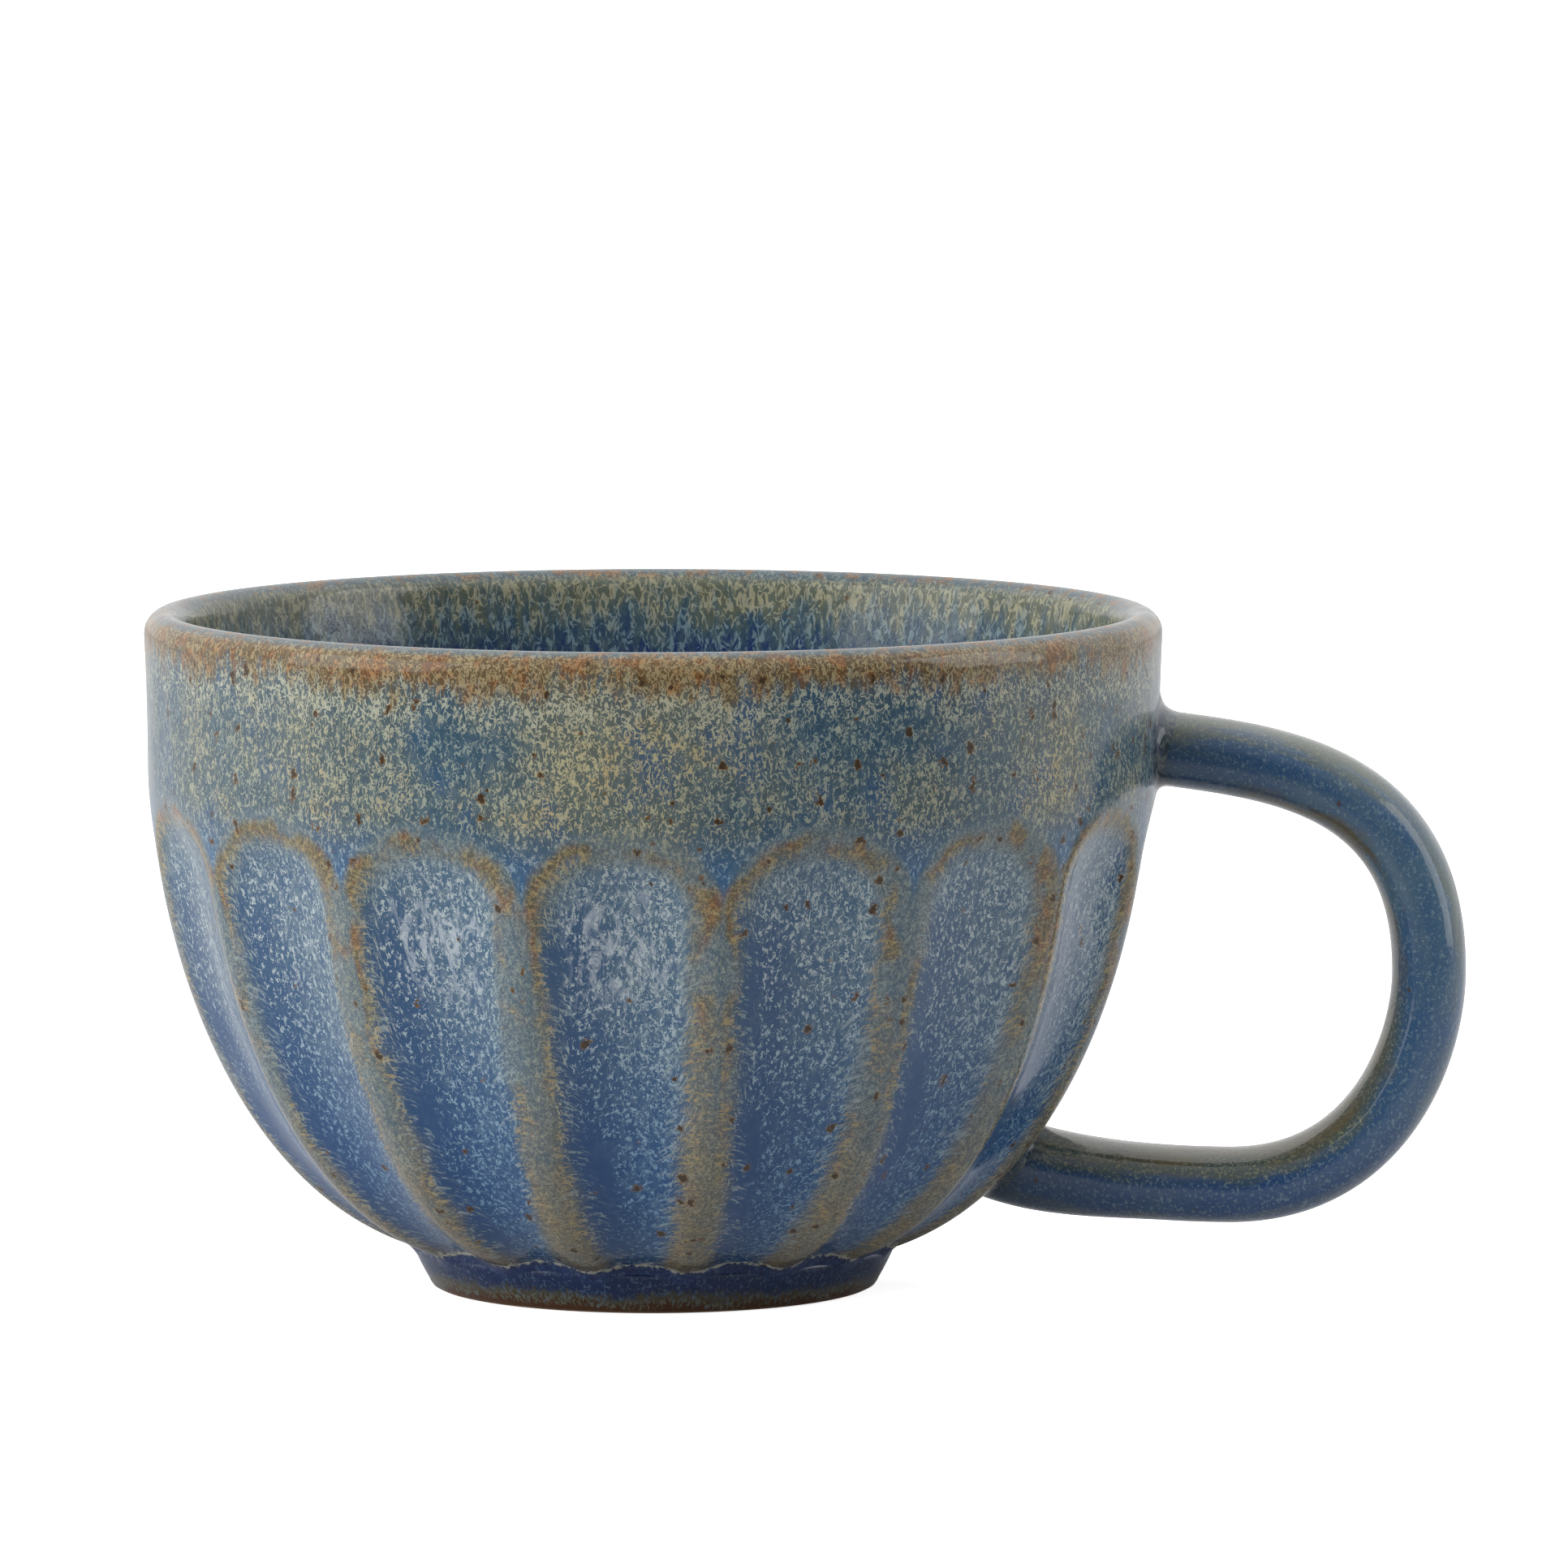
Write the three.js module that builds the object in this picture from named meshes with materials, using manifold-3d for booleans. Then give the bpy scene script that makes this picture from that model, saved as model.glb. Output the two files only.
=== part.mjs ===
// Fluted stoneware cappuccino mug: a round bowl with sixteen arched flutes, a separate foot ring
// and a loop handle, each luted on with clay slip. Millimetres, +Z up, handle towards +X.
// The origin lies under the middle of the mug's length and width, on the surface it stands on.

import * as THREE from 'three';
import { mergeVertices } from 'three/addons/utils/BufferGeometryUtils.js';
import Module from 'manifold-3d';

// Bowl, measured from its own axis.
const RIM_RADIUS = 57.5;
const HEIGHT = 76.8;
const LIP_THICKNESS = 4.6;
const LIP_ROUND_HEIGHT = 2.5;
const SHOULDER_BELOW_RIM = 17.6; // where the upright wall turns into the round bowl
const SHOULDER_INSET = 0.35; // how far the shoulder stands inside the rim
const WALL_THICKNESS = 5.0;
const FLOOR_THICKNESS = 5.0;
const BOWL_BASE_HEIGHT = 4.7; // underside of the bowl, which the foot ring carries
const BASE_SAG = 1.8; // how much lower the bowl's curve would run if the foot didn't cut it off
const SWELL_OUT = 0.79; // exponents of the bowl's round section: below 1 is fuller
const SWELL_DOWN = 1.12;

// Flutes, which end in round arches at the top and run out at the foot.
const FLUTE_COUNT = 16;
const FLUTE_DEPTH = 2.3; // at the widest place, shallower where the flutes narrow
const RIDGE_WIDTH = 2.4; // uncut clay left between two flutes
const ARCH_BELOW_RIM = 20.8;
const ARCH_HEIGHT = 8.2;

// Foot ring, glazed outside and bare where it stands.
const FOOT_RADIUS = 27.2; // where it meets the bowl
const FOOT_EDGE_RADIUS = 25.5;
const FOOT_STAND_RADIUS = 24.1;
const FOOT_ROUND_HEIGHT = 0.9;
const FOOT_STAND_WIDTH = 3.6;
const FOOT_INNER_DRAFT = 0.5;

// Handle, a pulled oval strap.
const HANDLE_THICKNESS = 8.4;
const HANDLE_WIDTH = 13.0;
const HANDLE_REACH = 92.0; // from the bowl's axis to the outside of the loop
const HANDLE_TOP_BELOW_RIM = 14.1; // centre of the strap where it enters the bowl's wall
const HANDLE_LOW_HEIGHT = 11.7; // centre of the strap at its lowest
const HANDLE_FOOT_RISE = 5.4; // from there up to its lower end, inside the bowl's wall
const HANDLE_END_DEPTH = 7.2; // how far it runs into the wall before it is cut to a saddle
const OUTERMOST_SHARE = 0.48; // height of the outermost place between the lowest and the top
const LOWEST_SHARE = 0.735; // how far back from there to the bowl the lowest place lies
const HANDLE_OVAL = 2.3; // exponent of the strap's section: 2 is an ellipse
const HANDLE_SECTION_SIDES = 14;
const HANDLE_STEPS = 34;

// Joints: a layer of slip, and what was squeezed out around it.
const SLIP_THICKNESS = 0.6;
const GAP = 0.3; // clearance between pieces that touch
const SQUEEZE_STEPS = [[2.0, 0.6], [1.4, 1.3], [0.9, 2.0]]; // [past the strap, above the slip]

const BOWL_SIDES = 96;
const AXIS_X = (RIM_RADIUS - HANDLE_REACH) / 2;
const SHOULDER_HEIGHT = HEIGHT - SHOULDER_BELOW_RIM;
const LIP_ROUND_START = HEIGHT - LIP_ROUND_HEIGHT;
const LIP_MIDDLE_RADIUS = RIM_RADIUS - LIP_THICKNESS / 2;
const FLOOR_HEIGHT = BOWL_BASE_HEIGHT + FLOOR_THICKNESS;
const ARCH_TOP = HEIGHT - ARCH_BELOW_RIM;
const ARCH_SPRING = ARCH_TOP - ARCH_HEIGHT;
const FOOT_TOP = BOWL_BASE_HEIGHT - 2 * GAP - SLIP_THICKNESS;
const HANDLE_END_OFFSET = 2 * GAP + SLIP_THICKNESS; // from the bowl's surface to the strap's end

const wasm = await Module();
wasm.setup();

// Bowl section -----------------------------------------------------------------------------

// The round part of a wall is a quarter of a superellipse from the bottom (angle 0) to the
// shoulder (angle 90 degrees).
function roundWall(angle, middle, radius, bottom) {
  return {
    r: middle + (radius - middle) * Math.sin(angle) ** SWELL_OUT,
    z: SHOULDER_HEIGHT - (SHOULDER_HEIGHT - bottom) * Math.cos(angle) ** SWELL_DOWN,
  };
}

const curveBottom = BOWL_BASE_HEIGHT - BASE_SAG;
const baseCosine = (SHOULDER_HEIGHT - BOWL_BASE_HEIGHT) / (SHOULDER_HEIGHT - curveBottom);
const baseAngle = Math.acos(baseCosine ** (1 / SWELL_DOWN));
const baseShare = Math.sin(baseAngle) ** SWELL_OUT;
const shoulderRadius = RIM_RADIUS - SHOULDER_INSET;
// Middle of the round section, placed so that the bowl's base has the foot ring's radius.
const flatRadius = (FOOT_RADIUS - shoulderRadius * baseShare) / (1 - baseShare);

const outerRound = (angle) => roundWall(angle, flatRadius, shoulderRadius, curveBottom);

// Outer wall as points with normals, from the base to the start of the lip.
function outerWall() {
  const wall = [];
  const roundSteps = 22;
  for (let i = 0; i <= roundSteps; i++) {
    const angle = baseAngle + ((Math.PI / 2 - baseAngle) * i) / roundSteps;
    wall.push(outerRound(angle));
  }
  const uprightSteps = 2;
  for (let i = 1; i <= uprightSteps; i++) {
    const share = i / uprightSteps;
    wall.push({
      r: shoulderRadius + SHOULDER_INSET * share ** 2,
      z: THREE.MathUtils.lerp(SHOULDER_HEIGHT, LIP_ROUND_START, share),
    });
  }
  return wall.map((point, i) => {
    const before = wall[Math.max(i - 1, 0)];
    const after = wall[Math.min(i + 1, wall.length - 1)];
    const length = Math.hypot(after.r - before.r, after.z - before.z);
    return { ...point, nr: (after.z - before.z) / length, nz: (before.r - after.r) / length };
  });
}

// Depth of the flutes at a place on the outer wall: a shallow scoop across each flute, closed
// at the top by a round arch and shallower where the flute is narrow.
function fluteDepth(theta, r, z) {
  const pitch = (2 * Math.PI) / FLUTE_COUNT;
  const across = Math.abs(theta - pitch * Math.round(theta / pitch)) * r;
  const halfWidth = (pitch / 2) * r - RIDGE_WIDTH / 2;
  const widest = (pitch / 2) * shoulderRadius - RIDGE_WIDTH / 2;
  const up = Math.max(0, z - ARCH_SPRING) / ARCH_HEIGHT;
  const share = Math.hypot(across / halfWidth, up);
  return share < 1 ? (FLUTE_DEPTH * halfWidth * (1 - share ** 2)) / widest : 0;
}

// Turns a profile about the bowl's axis. Points that carry a normal are cut in by the flutes.
function turn(profile, sides) {
  const points = profile.map((point) => new THREE.Vector2(point.r, point.z));
  const geometry = new THREE.LatheGeometry(points, sides);
  geometry.rotateX(Math.PI / 2);
  const position = geometry.getAttribute('position');
  for (let side = 0; side <= sides; side++) {
    // LatheGeometry starts at -Y once it is turned upright.
    const theta = (2 * Math.PI * (side % sides)) / sides - Math.PI / 2;
    profile.forEach(({ r, z, nr, nz }, row) => {
      const cut = nr === undefined ? 0 : fluteDepth(theta, r, z);
      const radius = r - cut * (nr ?? 0);
      const height = z - cut * (nz ?? 0);
      const index = side * profile.length + row;
      position.setXYZ(index, radius * Math.cos(theta), radius * Math.sin(theta), height);
    });
  }
  return geometry;
}

// Points along a quarter or half ellipse, for the rounded lip and the foot's edge.
function arc(centreR, centreZ, radiusR, radiusZ, from, to, steps) {
  return Array.from({ length: steps + 1 }, (_, i) => {
    const angle = from + ((to - from) * i) / steps;
    return { r: centreR + radiusR * Math.cos(angle), z: centreZ + radiusZ * Math.sin(angle) };
  });
}

function bowlGeometry() {
  const lip = arc(
    LIP_MIDDLE_RADIUS, LIP_ROUND_START, LIP_THICKNESS / 2, LIP_ROUND_HEIGHT, 0, Math.PI, 8,
  );
  const innerRadius = shoulderRadius - WALL_THICKNESS;
  const innerSteps = 9;
  const inner = Array.from({ length: innerSteps + 1 }, (_, i) => {
    const angle = (Math.PI / 2) * (1 - i / innerSteps);
    return roundWall(angle, flatRadius, innerRadius, FLOOR_HEIGHT);
  });
  return turn([
    { r: 0, z: BOWL_BASE_HEIGHT },
    { r: FOOT_RADIUS, z: BOWL_BASE_HEIGHT },
    ...outerWall().slice(1),
    ...lip.slice(1),
    ...inner,
    { r: 0, z: FLOOR_HEIGHT },
  ], BOWL_SIDES);
}

// Everything within a distance of the bowl's outer wall, filled in, which is what the handle
// and its joints are cut back by.
function bowlEnvelope(distance) {
  const wall = outerWall().map((point) => ({
    ...point,
    r: point.r + distance * point.nr,
    z: point.z + distance * point.nz,
  }));
  return turn([
    { r: 0, z: wall[0].z },
    ...wall,
    { r: 0, z: wall.at(-1).z },
  ], BOWL_SIDES);
}

// Foot ------------------------------------------------------------------------------------

const standInnerRadius = FOOT_STAND_RADIUS - FOOT_STAND_WIDTH;
const footInnerRadius = standInnerRadius - FOOT_INNER_DRAFT;

function footRingGeometry() {
  const roundR = FOOT_EDGE_RADIUS - FOOT_STAND_RADIUS;
  const edge = arc(
    FOOT_STAND_RADIUS, FOOT_ROUND_HEIGHT, roundR, FOOT_ROUND_HEIGHT, -Math.PI / 2, 0, 4,
  );
  return turn([
    { r: standInnerRadius, z: 0 },
    ...edge,
    { r: FOOT_RADIUS - GAP, z: FOOT_TOP },
    { r: footInnerRadius, z: FOOT_TOP },
    { r: standInnerRadius, z: 0 },
  ], BOWL_SIDES);
}

function footSeamGeometry() {
  const bottom = FOOT_TOP + GAP;
  const top = bottom + SLIP_THICKNESS;
  return turn([
    { r: footInnerRadius, z: bottom },
    { r: FOOT_RADIUS - GAP, z: bottom },
    { r: FOOT_RADIUS, z: top },
    { r: footInnerRadius, z: top },
    { r: footInnerRadius, z: bottom },
  ], BOWL_SIDES);
}

// Handle ----------------------------------------------------------------------------------

// Centre line of the strap in the XZ plane: out of the wall and over to the outermost place,
// round to the lowest place, and back into the wall.
function handlePath() {
  const outside = HANDLE_REACH - HANDLE_THICKNESS / 2;
  const topHeight = HEIGHT - HANDLE_TOP_BELOW_RIM;
  const drop = topHeight - HANDLE_LOW_HEIGHT;
  const span = outside - shoulderRadius;
  const point = (x, z) => new THREE.Vector3(x, 0, z);
  const bend = (...corners) => new THREE.CubicBezierCurve3(...corners);

  const top = point(shoulderRadius - HANDLE_END_DEPTH, topHeight);
  const outermost = point(outside, HANDLE_LOW_HEIGHT + OUTERMOST_SHARE * drop);
  const lowest = point(outside - LOWEST_SHARE * span, HANDLE_LOW_HEIGHT);
  const footOfWall = outerRadiusAt(HANDLE_LOW_HEIGHT);
  const end = point(footOfWall - HANDLE_END_DEPTH / 2, HANDLE_LOW_HEIGHT + HANDLE_FOOT_RISE);

  // The two middle corners of each bend set how full it is.
  const path = new THREE.CurvePath();
  path.add(bend(
    top,
    point(top.x + 0.36 * span, topHeight - 0.065 * drop),
    point(outside, topHeight + 0.01 * drop),
    outermost,
  ));
  path.add(bend(
    outermost,
    point(outside, outermost.z - 0.17 * drop),
    point(lowest.x + 0.56 * span, HANDLE_LOW_HEIGHT),
    lowest,
  ));
  path.add(bend(
    lowest,
    point(lowest.x - 0.3 * span, HANDLE_LOW_HEIGHT),
    point(end.x + 0.28 * (lowest.x - end.x), HANDLE_LOW_HEIGHT + 0.17 * HANDLE_FOOT_RISE),
    end,
  ));
  return path;
}

// Radius of the bowl's round wall, before the flutes, at a height below the shoulder.
function outerRadiusAt(height) {
  const cosine = (SHOULDER_HEIGHT - height) / (SHOULDER_HEIGHT - curveBottom);
  return outerRound(Math.acos(cosine ** (1 / SWELL_DOWN))).r;
}

// Superellipse section of the strap, grown all round by a margin.
function strapSection(margin) {
  const power = 2 / HANDLE_OVAL;
  const along = (value) => Math.sign(value) * Math.abs(value) ** power;
  const corners = Array.from({ length: HANDLE_SECTION_SIDES }, (_, i) => {
    const angle = (2 * Math.PI * i) / HANDLE_SECTION_SIDES;
    return new THREE.Vector2(
      (HANDLE_WIDTH / 2 + margin) * along(Math.cos(angle)),
      (HANDLE_THICKNESS / 2 + margin) * along(Math.sin(angle)),
    );
  });
  return new THREE.Shape(corners);
}

function strap(margin) {
  return new THREE.ExtrudeGeometry(strapSection(margin), {
    steps: HANDLE_STEPS,
    extrudePath: handlePath(),
  });
}

// Solids ----------------------------------------------------------------------------------

function toSolid(geometry) {
  const bare = geometry.clone();
  bare.deleteAttribute('normal');
  bare.deleteAttribute('uv');
  const merged = mergeVertices(bare);
  const index = merged.getIndex().array;
  const triangles = [];
  for (let i = 0; i < index.length; i += 3) {
    const [a, b, c] = index.slice(i, i + 3);
    // Rings that shrink to the axis leave triangles with no area.
    if (a !== b && b !== c && c !== a) triangles.push(a, b, c);
  }
  return new wasm.Manifold(new wasm.Mesh({
    numProp: 3,
    vertProperties: Float32Array.from(merged.getAttribute('position').array),
    triVerts: Uint32Array.from(triangles),
  }));
}

function toGeometry(solid) {
  const { vertProperties, triVerts } = solid.getMesh();
  const geometry = new THREE.BufferGeometry();
  geometry.setAttribute('position', new THREE.BufferAttribute(vertProperties, 3));
  geometry.setIndex(new THREE.BufferAttribute(triVerts, 1));
  geometry.computeVertexNormals();
  return geometry;
}

// A block over everything above the middle of the handle, to part the two joints.
const middleOfHandle = (HEIGHT - HANDLE_TOP_BELOW_RIM + HANDLE_LOW_HEIGHT) / 2;
const upperHalf = toSolid(
  new THREE.BoxGeometry(2 * HANDLE_REACH, 2 * HANDLE_REACH, HEIGHT)
    .translate(0, 0, middleOfHandle + HEIGHT / 2),
);

// The strap ends in saddles that follow the bowl, a layer of slip away from it.
function cutStrap(margin) {
  return toSolid(strap(margin)).subtract(toSolid(bowlEnvelope(HANDLE_END_OFFSET)));
}

// Slip under both ends of the strap, with a collar squeezed out around each.
function slipJoints() {
  const nearBowl = SQUEEZE_STEPS.map(([margin, rise]) =>
    toSolid(strap(margin)).intersect(toSolid(bowlEnvelope(GAP + SLIP_THICKNESS + rise))));
  return nearBowl
    .reduce((joined, layer) => joined.add(layer))
    .subtract(toSolid(bowlEnvelope(GAP)))
    .subtract(toSolid(strap(GAP)).subtract(toSolid(bowlEnvelope(GAP + SLIP_THICKNESS))));
}

// Assembly --------------------------------------------------------------------------------

const glaze = (color) => new THREE.MeshStandardMaterial({ color, roughness: 0.15, metalness: 0 });
const bareClay = new THREE.MeshStandardMaterial({ color: 0x8a6a4c, roughness: 0.8, metalness: 0 });

const mug = new THREE.Group();
mug.position.x = AXIS_X;

function addPiece(name, geometry, material) {
  const mesh = new THREE.Mesh(geometry, material);
  mesh.name = name;
  mug.add(mesh);
}

const joints = slipJoints();

addPiece('bowl', toGeometry(toSolid(bowlGeometry())), glaze(0x5f7c98));
addPiece('foot_ring', toGeometry(toSolid(footRingGeometry())), bareClay);
addPiece('foot_slip_seam', toGeometry(toSolid(footSeamGeometry())), glaze(0x27335f));
addPiece('handle', toGeometry(cutStrap(0)), glaze(0x46618a));
addPiece('upper_slip_joint', toGeometry(joints.intersect(upperHalf)), glaze(0x3c5168));
addPiece('lower_slip_joint', toGeometry(joints.subtract(upperHalf)), glaze(0x2b3a66));

export default mug;
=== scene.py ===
# Fluted stoneware cappuccino mug, glazed in a running blue over an iron-bearing clay. The pieces
# follow the order in which a potter puts them together: bowl, foot ring, handle, joints.
# Sizes are in millimetres, measured from the bowl's own axis, and become metres in each mesh.

import math

import bpy
import numpy as np
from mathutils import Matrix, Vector


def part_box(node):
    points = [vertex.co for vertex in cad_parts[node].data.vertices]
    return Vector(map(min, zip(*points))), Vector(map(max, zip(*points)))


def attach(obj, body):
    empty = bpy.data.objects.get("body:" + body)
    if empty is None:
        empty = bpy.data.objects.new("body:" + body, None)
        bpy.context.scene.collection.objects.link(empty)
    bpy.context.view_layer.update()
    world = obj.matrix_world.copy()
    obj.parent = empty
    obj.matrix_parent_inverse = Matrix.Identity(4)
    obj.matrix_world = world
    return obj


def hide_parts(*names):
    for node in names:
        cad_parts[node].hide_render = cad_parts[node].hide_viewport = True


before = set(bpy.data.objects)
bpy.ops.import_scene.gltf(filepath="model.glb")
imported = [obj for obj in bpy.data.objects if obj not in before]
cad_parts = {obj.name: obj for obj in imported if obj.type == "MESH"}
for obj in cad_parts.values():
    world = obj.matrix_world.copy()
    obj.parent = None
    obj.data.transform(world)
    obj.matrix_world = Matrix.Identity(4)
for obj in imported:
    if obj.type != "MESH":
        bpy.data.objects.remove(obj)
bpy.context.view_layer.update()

# Bowl ------------------------------------------------------------------------
# One thrown wall of stoneware with a rounded lip, about 6 mm thick. Sixteen flutes are cut into
# the leather-hard clay with a loop tool, each ending in a round arch. It is dipped in a glaze that
# breaks tan on every edge, runs down from the lip in fine streaks and pools blue in the hollows.

bowl_low, bowl_high = (Vector(corner) * 1000 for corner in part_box("bowl"))
AXIS_X = (bowl_low.x + bowl_high.x) / 2
RIM_RADIUS = (bowl_high.x - bowl_low.x) / 2
HEIGHT = bowl_high.z
BASE_HEIGHT = bowl_low.z
SHOULDER_HEIGHT = HEIGHT - 17.6
SHOULDER_INSET = 0.35
LIP_ROUND_HEIGHT = 2.5
LIP_HALF_THICKNESS = 2.3
WALL_THICKNESS = 5.8
INNER_FLARE = 1.6
FLOOR_HEIGHT = BASE_HEIGHT + 5.0
FOOT_RADIUS = 27.2
BASE_SAG = 1.8
SWELL_OUT = 0.79
SWELL_DOWN = 1.12
FLUTE_COUNT = 16
FLUTE_PITCH = 2 * math.pi / FLUTE_COUNT
FLUTE_DEPTH = 2.3
RIDGE_WIDTH = 2.4
ARCH_HEIGHT = 8.2
ARCH_SPRING = HEIGHT - 20.8 - ARCH_HEIGHT
EDGE_SOFTNESS = 0.09
HAIR_LEAN = 0.15
ARCH_UNROLLED = 10.0
FLUTES_APART = 40.0
COLUMNS = 28 * FLUTE_COUNT
WALL_RINGS = 128
INNER_RINGS = 56

shoulder_radius = RIM_RADIUS - SHOULDER_INSET
curve_bottom = BASE_HEIGHT - BASE_SAG
base_angle = math.acos(
    ((SHOULDER_HEIGHT - BASE_HEIGHT) / (SHOULDER_HEIGHT - curve_bottom)) ** (1 / SWELL_DOWN)
)
base_share = math.sin(base_angle) ** SWELL_OUT
flat_radius = (FOOT_RADIUS - shoulder_radius * base_share) / (1 - base_share)


def round_wall(angle, radius, bottom):
    """Radius and height on the round part of a wall, from its bottom to its shoulder."""
    reach = flat_radius + (radius - flat_radius) * np.sin(angle) ** SWELL_OUT
    height = SHOULDER_HEIGHT - (SHOULDER_HEIGHT - bottom) * np.cos(angle) ** SWELL_DOWN
    return reach, height


def even_steps(reach, height, count):
    """The same section again, with its points a constant distance apart."""
    length = np.concatenate([[0], np.cumsum(np.hypot(np.diff(reach), np.diff(height)))])
    places = np.linspace(0, length[-1], count)
    return np.interp(places, length, reach), np.interp(places, length, height)


upright = np.linspace(0, 1, 60)[1:]
fine_angle = np.linspace(base_angle, math.pi / 2, 900)
fine_reach, fine_height = round_wall(fine_angle, shoulder_radius, curve_bottom)
wall_reach, wall_height = even_steps(
    np.concatenate([fine_reach, shoulder_radius + SHOULDER_INSET * upright**2]),
    np.concatenate([fine_height, SHOULDER_HEIGHT + (HEIGHT - LIP_ROUND_HEIGHT
                                                    - SHOULDER_HEIGHT) * upright]),
    WALL_RINGS,
)
wall_along = np.stack([np.gradient(wall_reach), np.gradient(wall_height)])
wall_along /= np.hypot(*wall_along)
wall_normal = np.stack([wall_along[1], -wall_along[0]])
wall_step = math.hypot(wall_reach[1] - wall_reach[0], wall_height[1] - wall_height[0])


def flute_place(theta, reach, height):
    """Share of the way from a flute's middle to its edge, its half width, and how far up the
    arch."""
    across = np.abs(theta - FLUTE_PITCH * np.round(theta / FLUTE_PITCH)) * reach
    half_width = FLUTE_PITCH / 2 * reach - RIDGE_WIDTH / 2
    up = np.maximum(0, height - ARCH_SPRING) / ARCH_HEIGHT
    return np.hypot(across / half_width, up), half_width, up


def flute_depth(theta, reach, height):
    """Depth of the cut: a shallow scoop, soft at its edges where the glaze rounds them."""
    share, half_width, _ = flute_place(theta, reach, height)
    widest = FLUTE_PITCH / 2 * shoulder_radius - RIDGE_WIDTH / 2
    inside = 1 - share
    inside = (inside + np.sqrt(inside**2 + EDGE_SOFTNESS**2)) / 2
    return FLUTE_DEPTH * half_width / widest * inside * (2 - inside)


def edge_distance(theta, reach, height):
    """Millimetres from a flute's edge, positive inside the flute."""
    share, half_width, up = flute_place(theta, reach, height)
    tilt = np.clip(up / np.maximum(share, 0.01), 0, 1) ** 2
    return (1 - share) * (half_width * (1 - tilt) + ARCH_HEIGHT * tilt)


def ring_quads(rows, count, around):
    """The four corners of each face between a ring and the next, for so many rows of faces."""
    ring, column = np.meshgrid(np.arange(rows), np.arange(around), indexing="ij")
    below, after = (ring + 1) % count, (column + 1) % around
    return np.stack([ring * around + column, ring * around + after,
                     below * around + after, below * around + column], axis=-1).reshape(-1, 4)


def closed_mesh(name, points, quads, caps=()):
    """Smooth closed mesh, its faces turned outward and its millimetres made metres."""
    mesh = bpy.data.meshes.new(name)
    mesh.from_pydata(((points + [AXIS_X, 0, 0]) / 1000).tolist(), [], quads.tolist() + list(caps))
    a, b, c, d = (points[quads[:, i]] for i in range(4))
    if np.einsum("ij,ij->", a, np.cross(b, c) + np.cross(c, d)) < 0:
        mesh.flip_normals()
    mesh.shade_smooth()
    return mesh


def put_mark(mesh, label, values):
    """Gives each point of a mesh a value that a glaze can follow."""
    layer = mesh.attributes.new(label, "FLOAT", "POINT")
    layer.data.foreach_set("value", values.astype(np.float32).ravel())


def stand(name, mesh):
    """Puts a mesh in the scene as a piece."""
    mesh.update()
    piece = bpy.data.objects.new(name, mesh)
    bpy.context.scene.collection.objects.link(piece)
    return piece


def glazed_skin(name, rings, marks=None, corner_marks=None):
    """Closed mesh through rings of points, its ends closed to their middles. marks holds one value
    for each point, and corner_marks one vector for each corner of each face between two rings."""
    count, around = rings.shape[:2]
    points = np.concatenate([rings.reshape(-1, 3), rings[[0, -1]].mean(axis=1)])
    first, last = count * around, count * around + 1
    side = np.arange(around)
    beside = (side + 1) % around
    caps = np.concatenate([
        np.stack([np.full(around, first), beside, side], axis=-1),
        np.stack([np.full(around, last), last - 1 - around + side,
                  last - 1 - around + beside], axis=-1),
    ])
    mesh = closed_mesh(name, points, ring_quads(count - 1, count, around), caps.tolist())
    for label, values in (marks or {}).items():
        values = np.broadcast_to(values, (count, around))
        put_mark(mesh, label, np.concatenate([values.ravel(), values[0].mean(keepdims=True),
                                              values[-1].mean(keepdims=True)]))
    for label, vectors in (corner_marks or {}).items():
        spare = np.zeros((caps.size, 3))
        vectors = np.concatenate([vectors.reshape(-1, 3), spare])
        layer = mesh.attributes.new(label, "FLOAT_VECTOR", "CORNER")
        layer.data.foreach_set("vector", vectors.astype(np.float32).ravel())
    return stand(name, mesh)


theta = np.linspace(0, 2 * math.pi, COLUMNS, endpoint=False)
cut = flute_depth(theta[None, :], wall_reach[:, None], wall_height[:, None])
outer_reach = wall_reach[:, None] - cut * wall_normal[0][:, None]
outer_height = wall_height[:, None] - cut * wall_normal[1][:, None]

lip_angle = np.linspace(0, math.pi, 16)[1:]
lip_reach = RIM_RADIUS - LIP_HALF_THICKNESS * (1 - np.cos(lip_angle))
lip_height = HEIGHT - LIP_ROUND_HEIGHT * (1 - np.sin(lip_angle))
inner_angle = np.linspace(math.pi / 2, 0, 700)
flare = np.linspace(0, 1, 40)[:-1]
inner_curve = round_wall(inner_angle, shoulder_radius - WALL_THICKNESS, FLOOR_HEIGHT)
inner_flare = (inner_curve[0][0] + (lip_reach[-1] - inner_curve[0][0]) * (1 - flare) ** INNER_FLARE,
               SHOULDER_HEIGHT + (lip_height[-1] - SHOULDER_HEIGHT) * (1 - flare))
inner_reach, inner_height = even_steps(
    *(np.concatenate(pair) for pair in zip(inner_flare, inner_curve)), INNER_RINGS
)
floor_reach = np.array([10.0, 6.5, 3.2, 0.8])
base_reach = np.array([0.8, 7.0, 14.0, 20.5, 24.5])


def turned(reach, height):
    """Points at a radius and a height, for every column round the bowl's axis."""
    return np.stack([reach * np.cos(theta), reach * np.sin(theta), height], axis=-1)


def plain_rings(reach, height):
    """Round rings, the same for every column."""
    ones = np.ones(COLUMNS)
    return np.outer(reach, ones), np.outer(np.broadcast_to(height, reach.shape), ones)


ring_parts = [
    plain_rings(base_reach, BASE_HEIGHT),
    (outer_reach, outer_height),
    plain_rings(lip_reach, lip_height),
    plain_rings(inner_reach[1:], inner_height[1:]),
    plain_rings(floor_reach, FLOOR_HEIGHT),
]
bowl_reach = np.concatenate([part[0] for part in ring_parts])
bowl_height = np.concatenate([part[1] for part in ring_parts])

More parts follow.
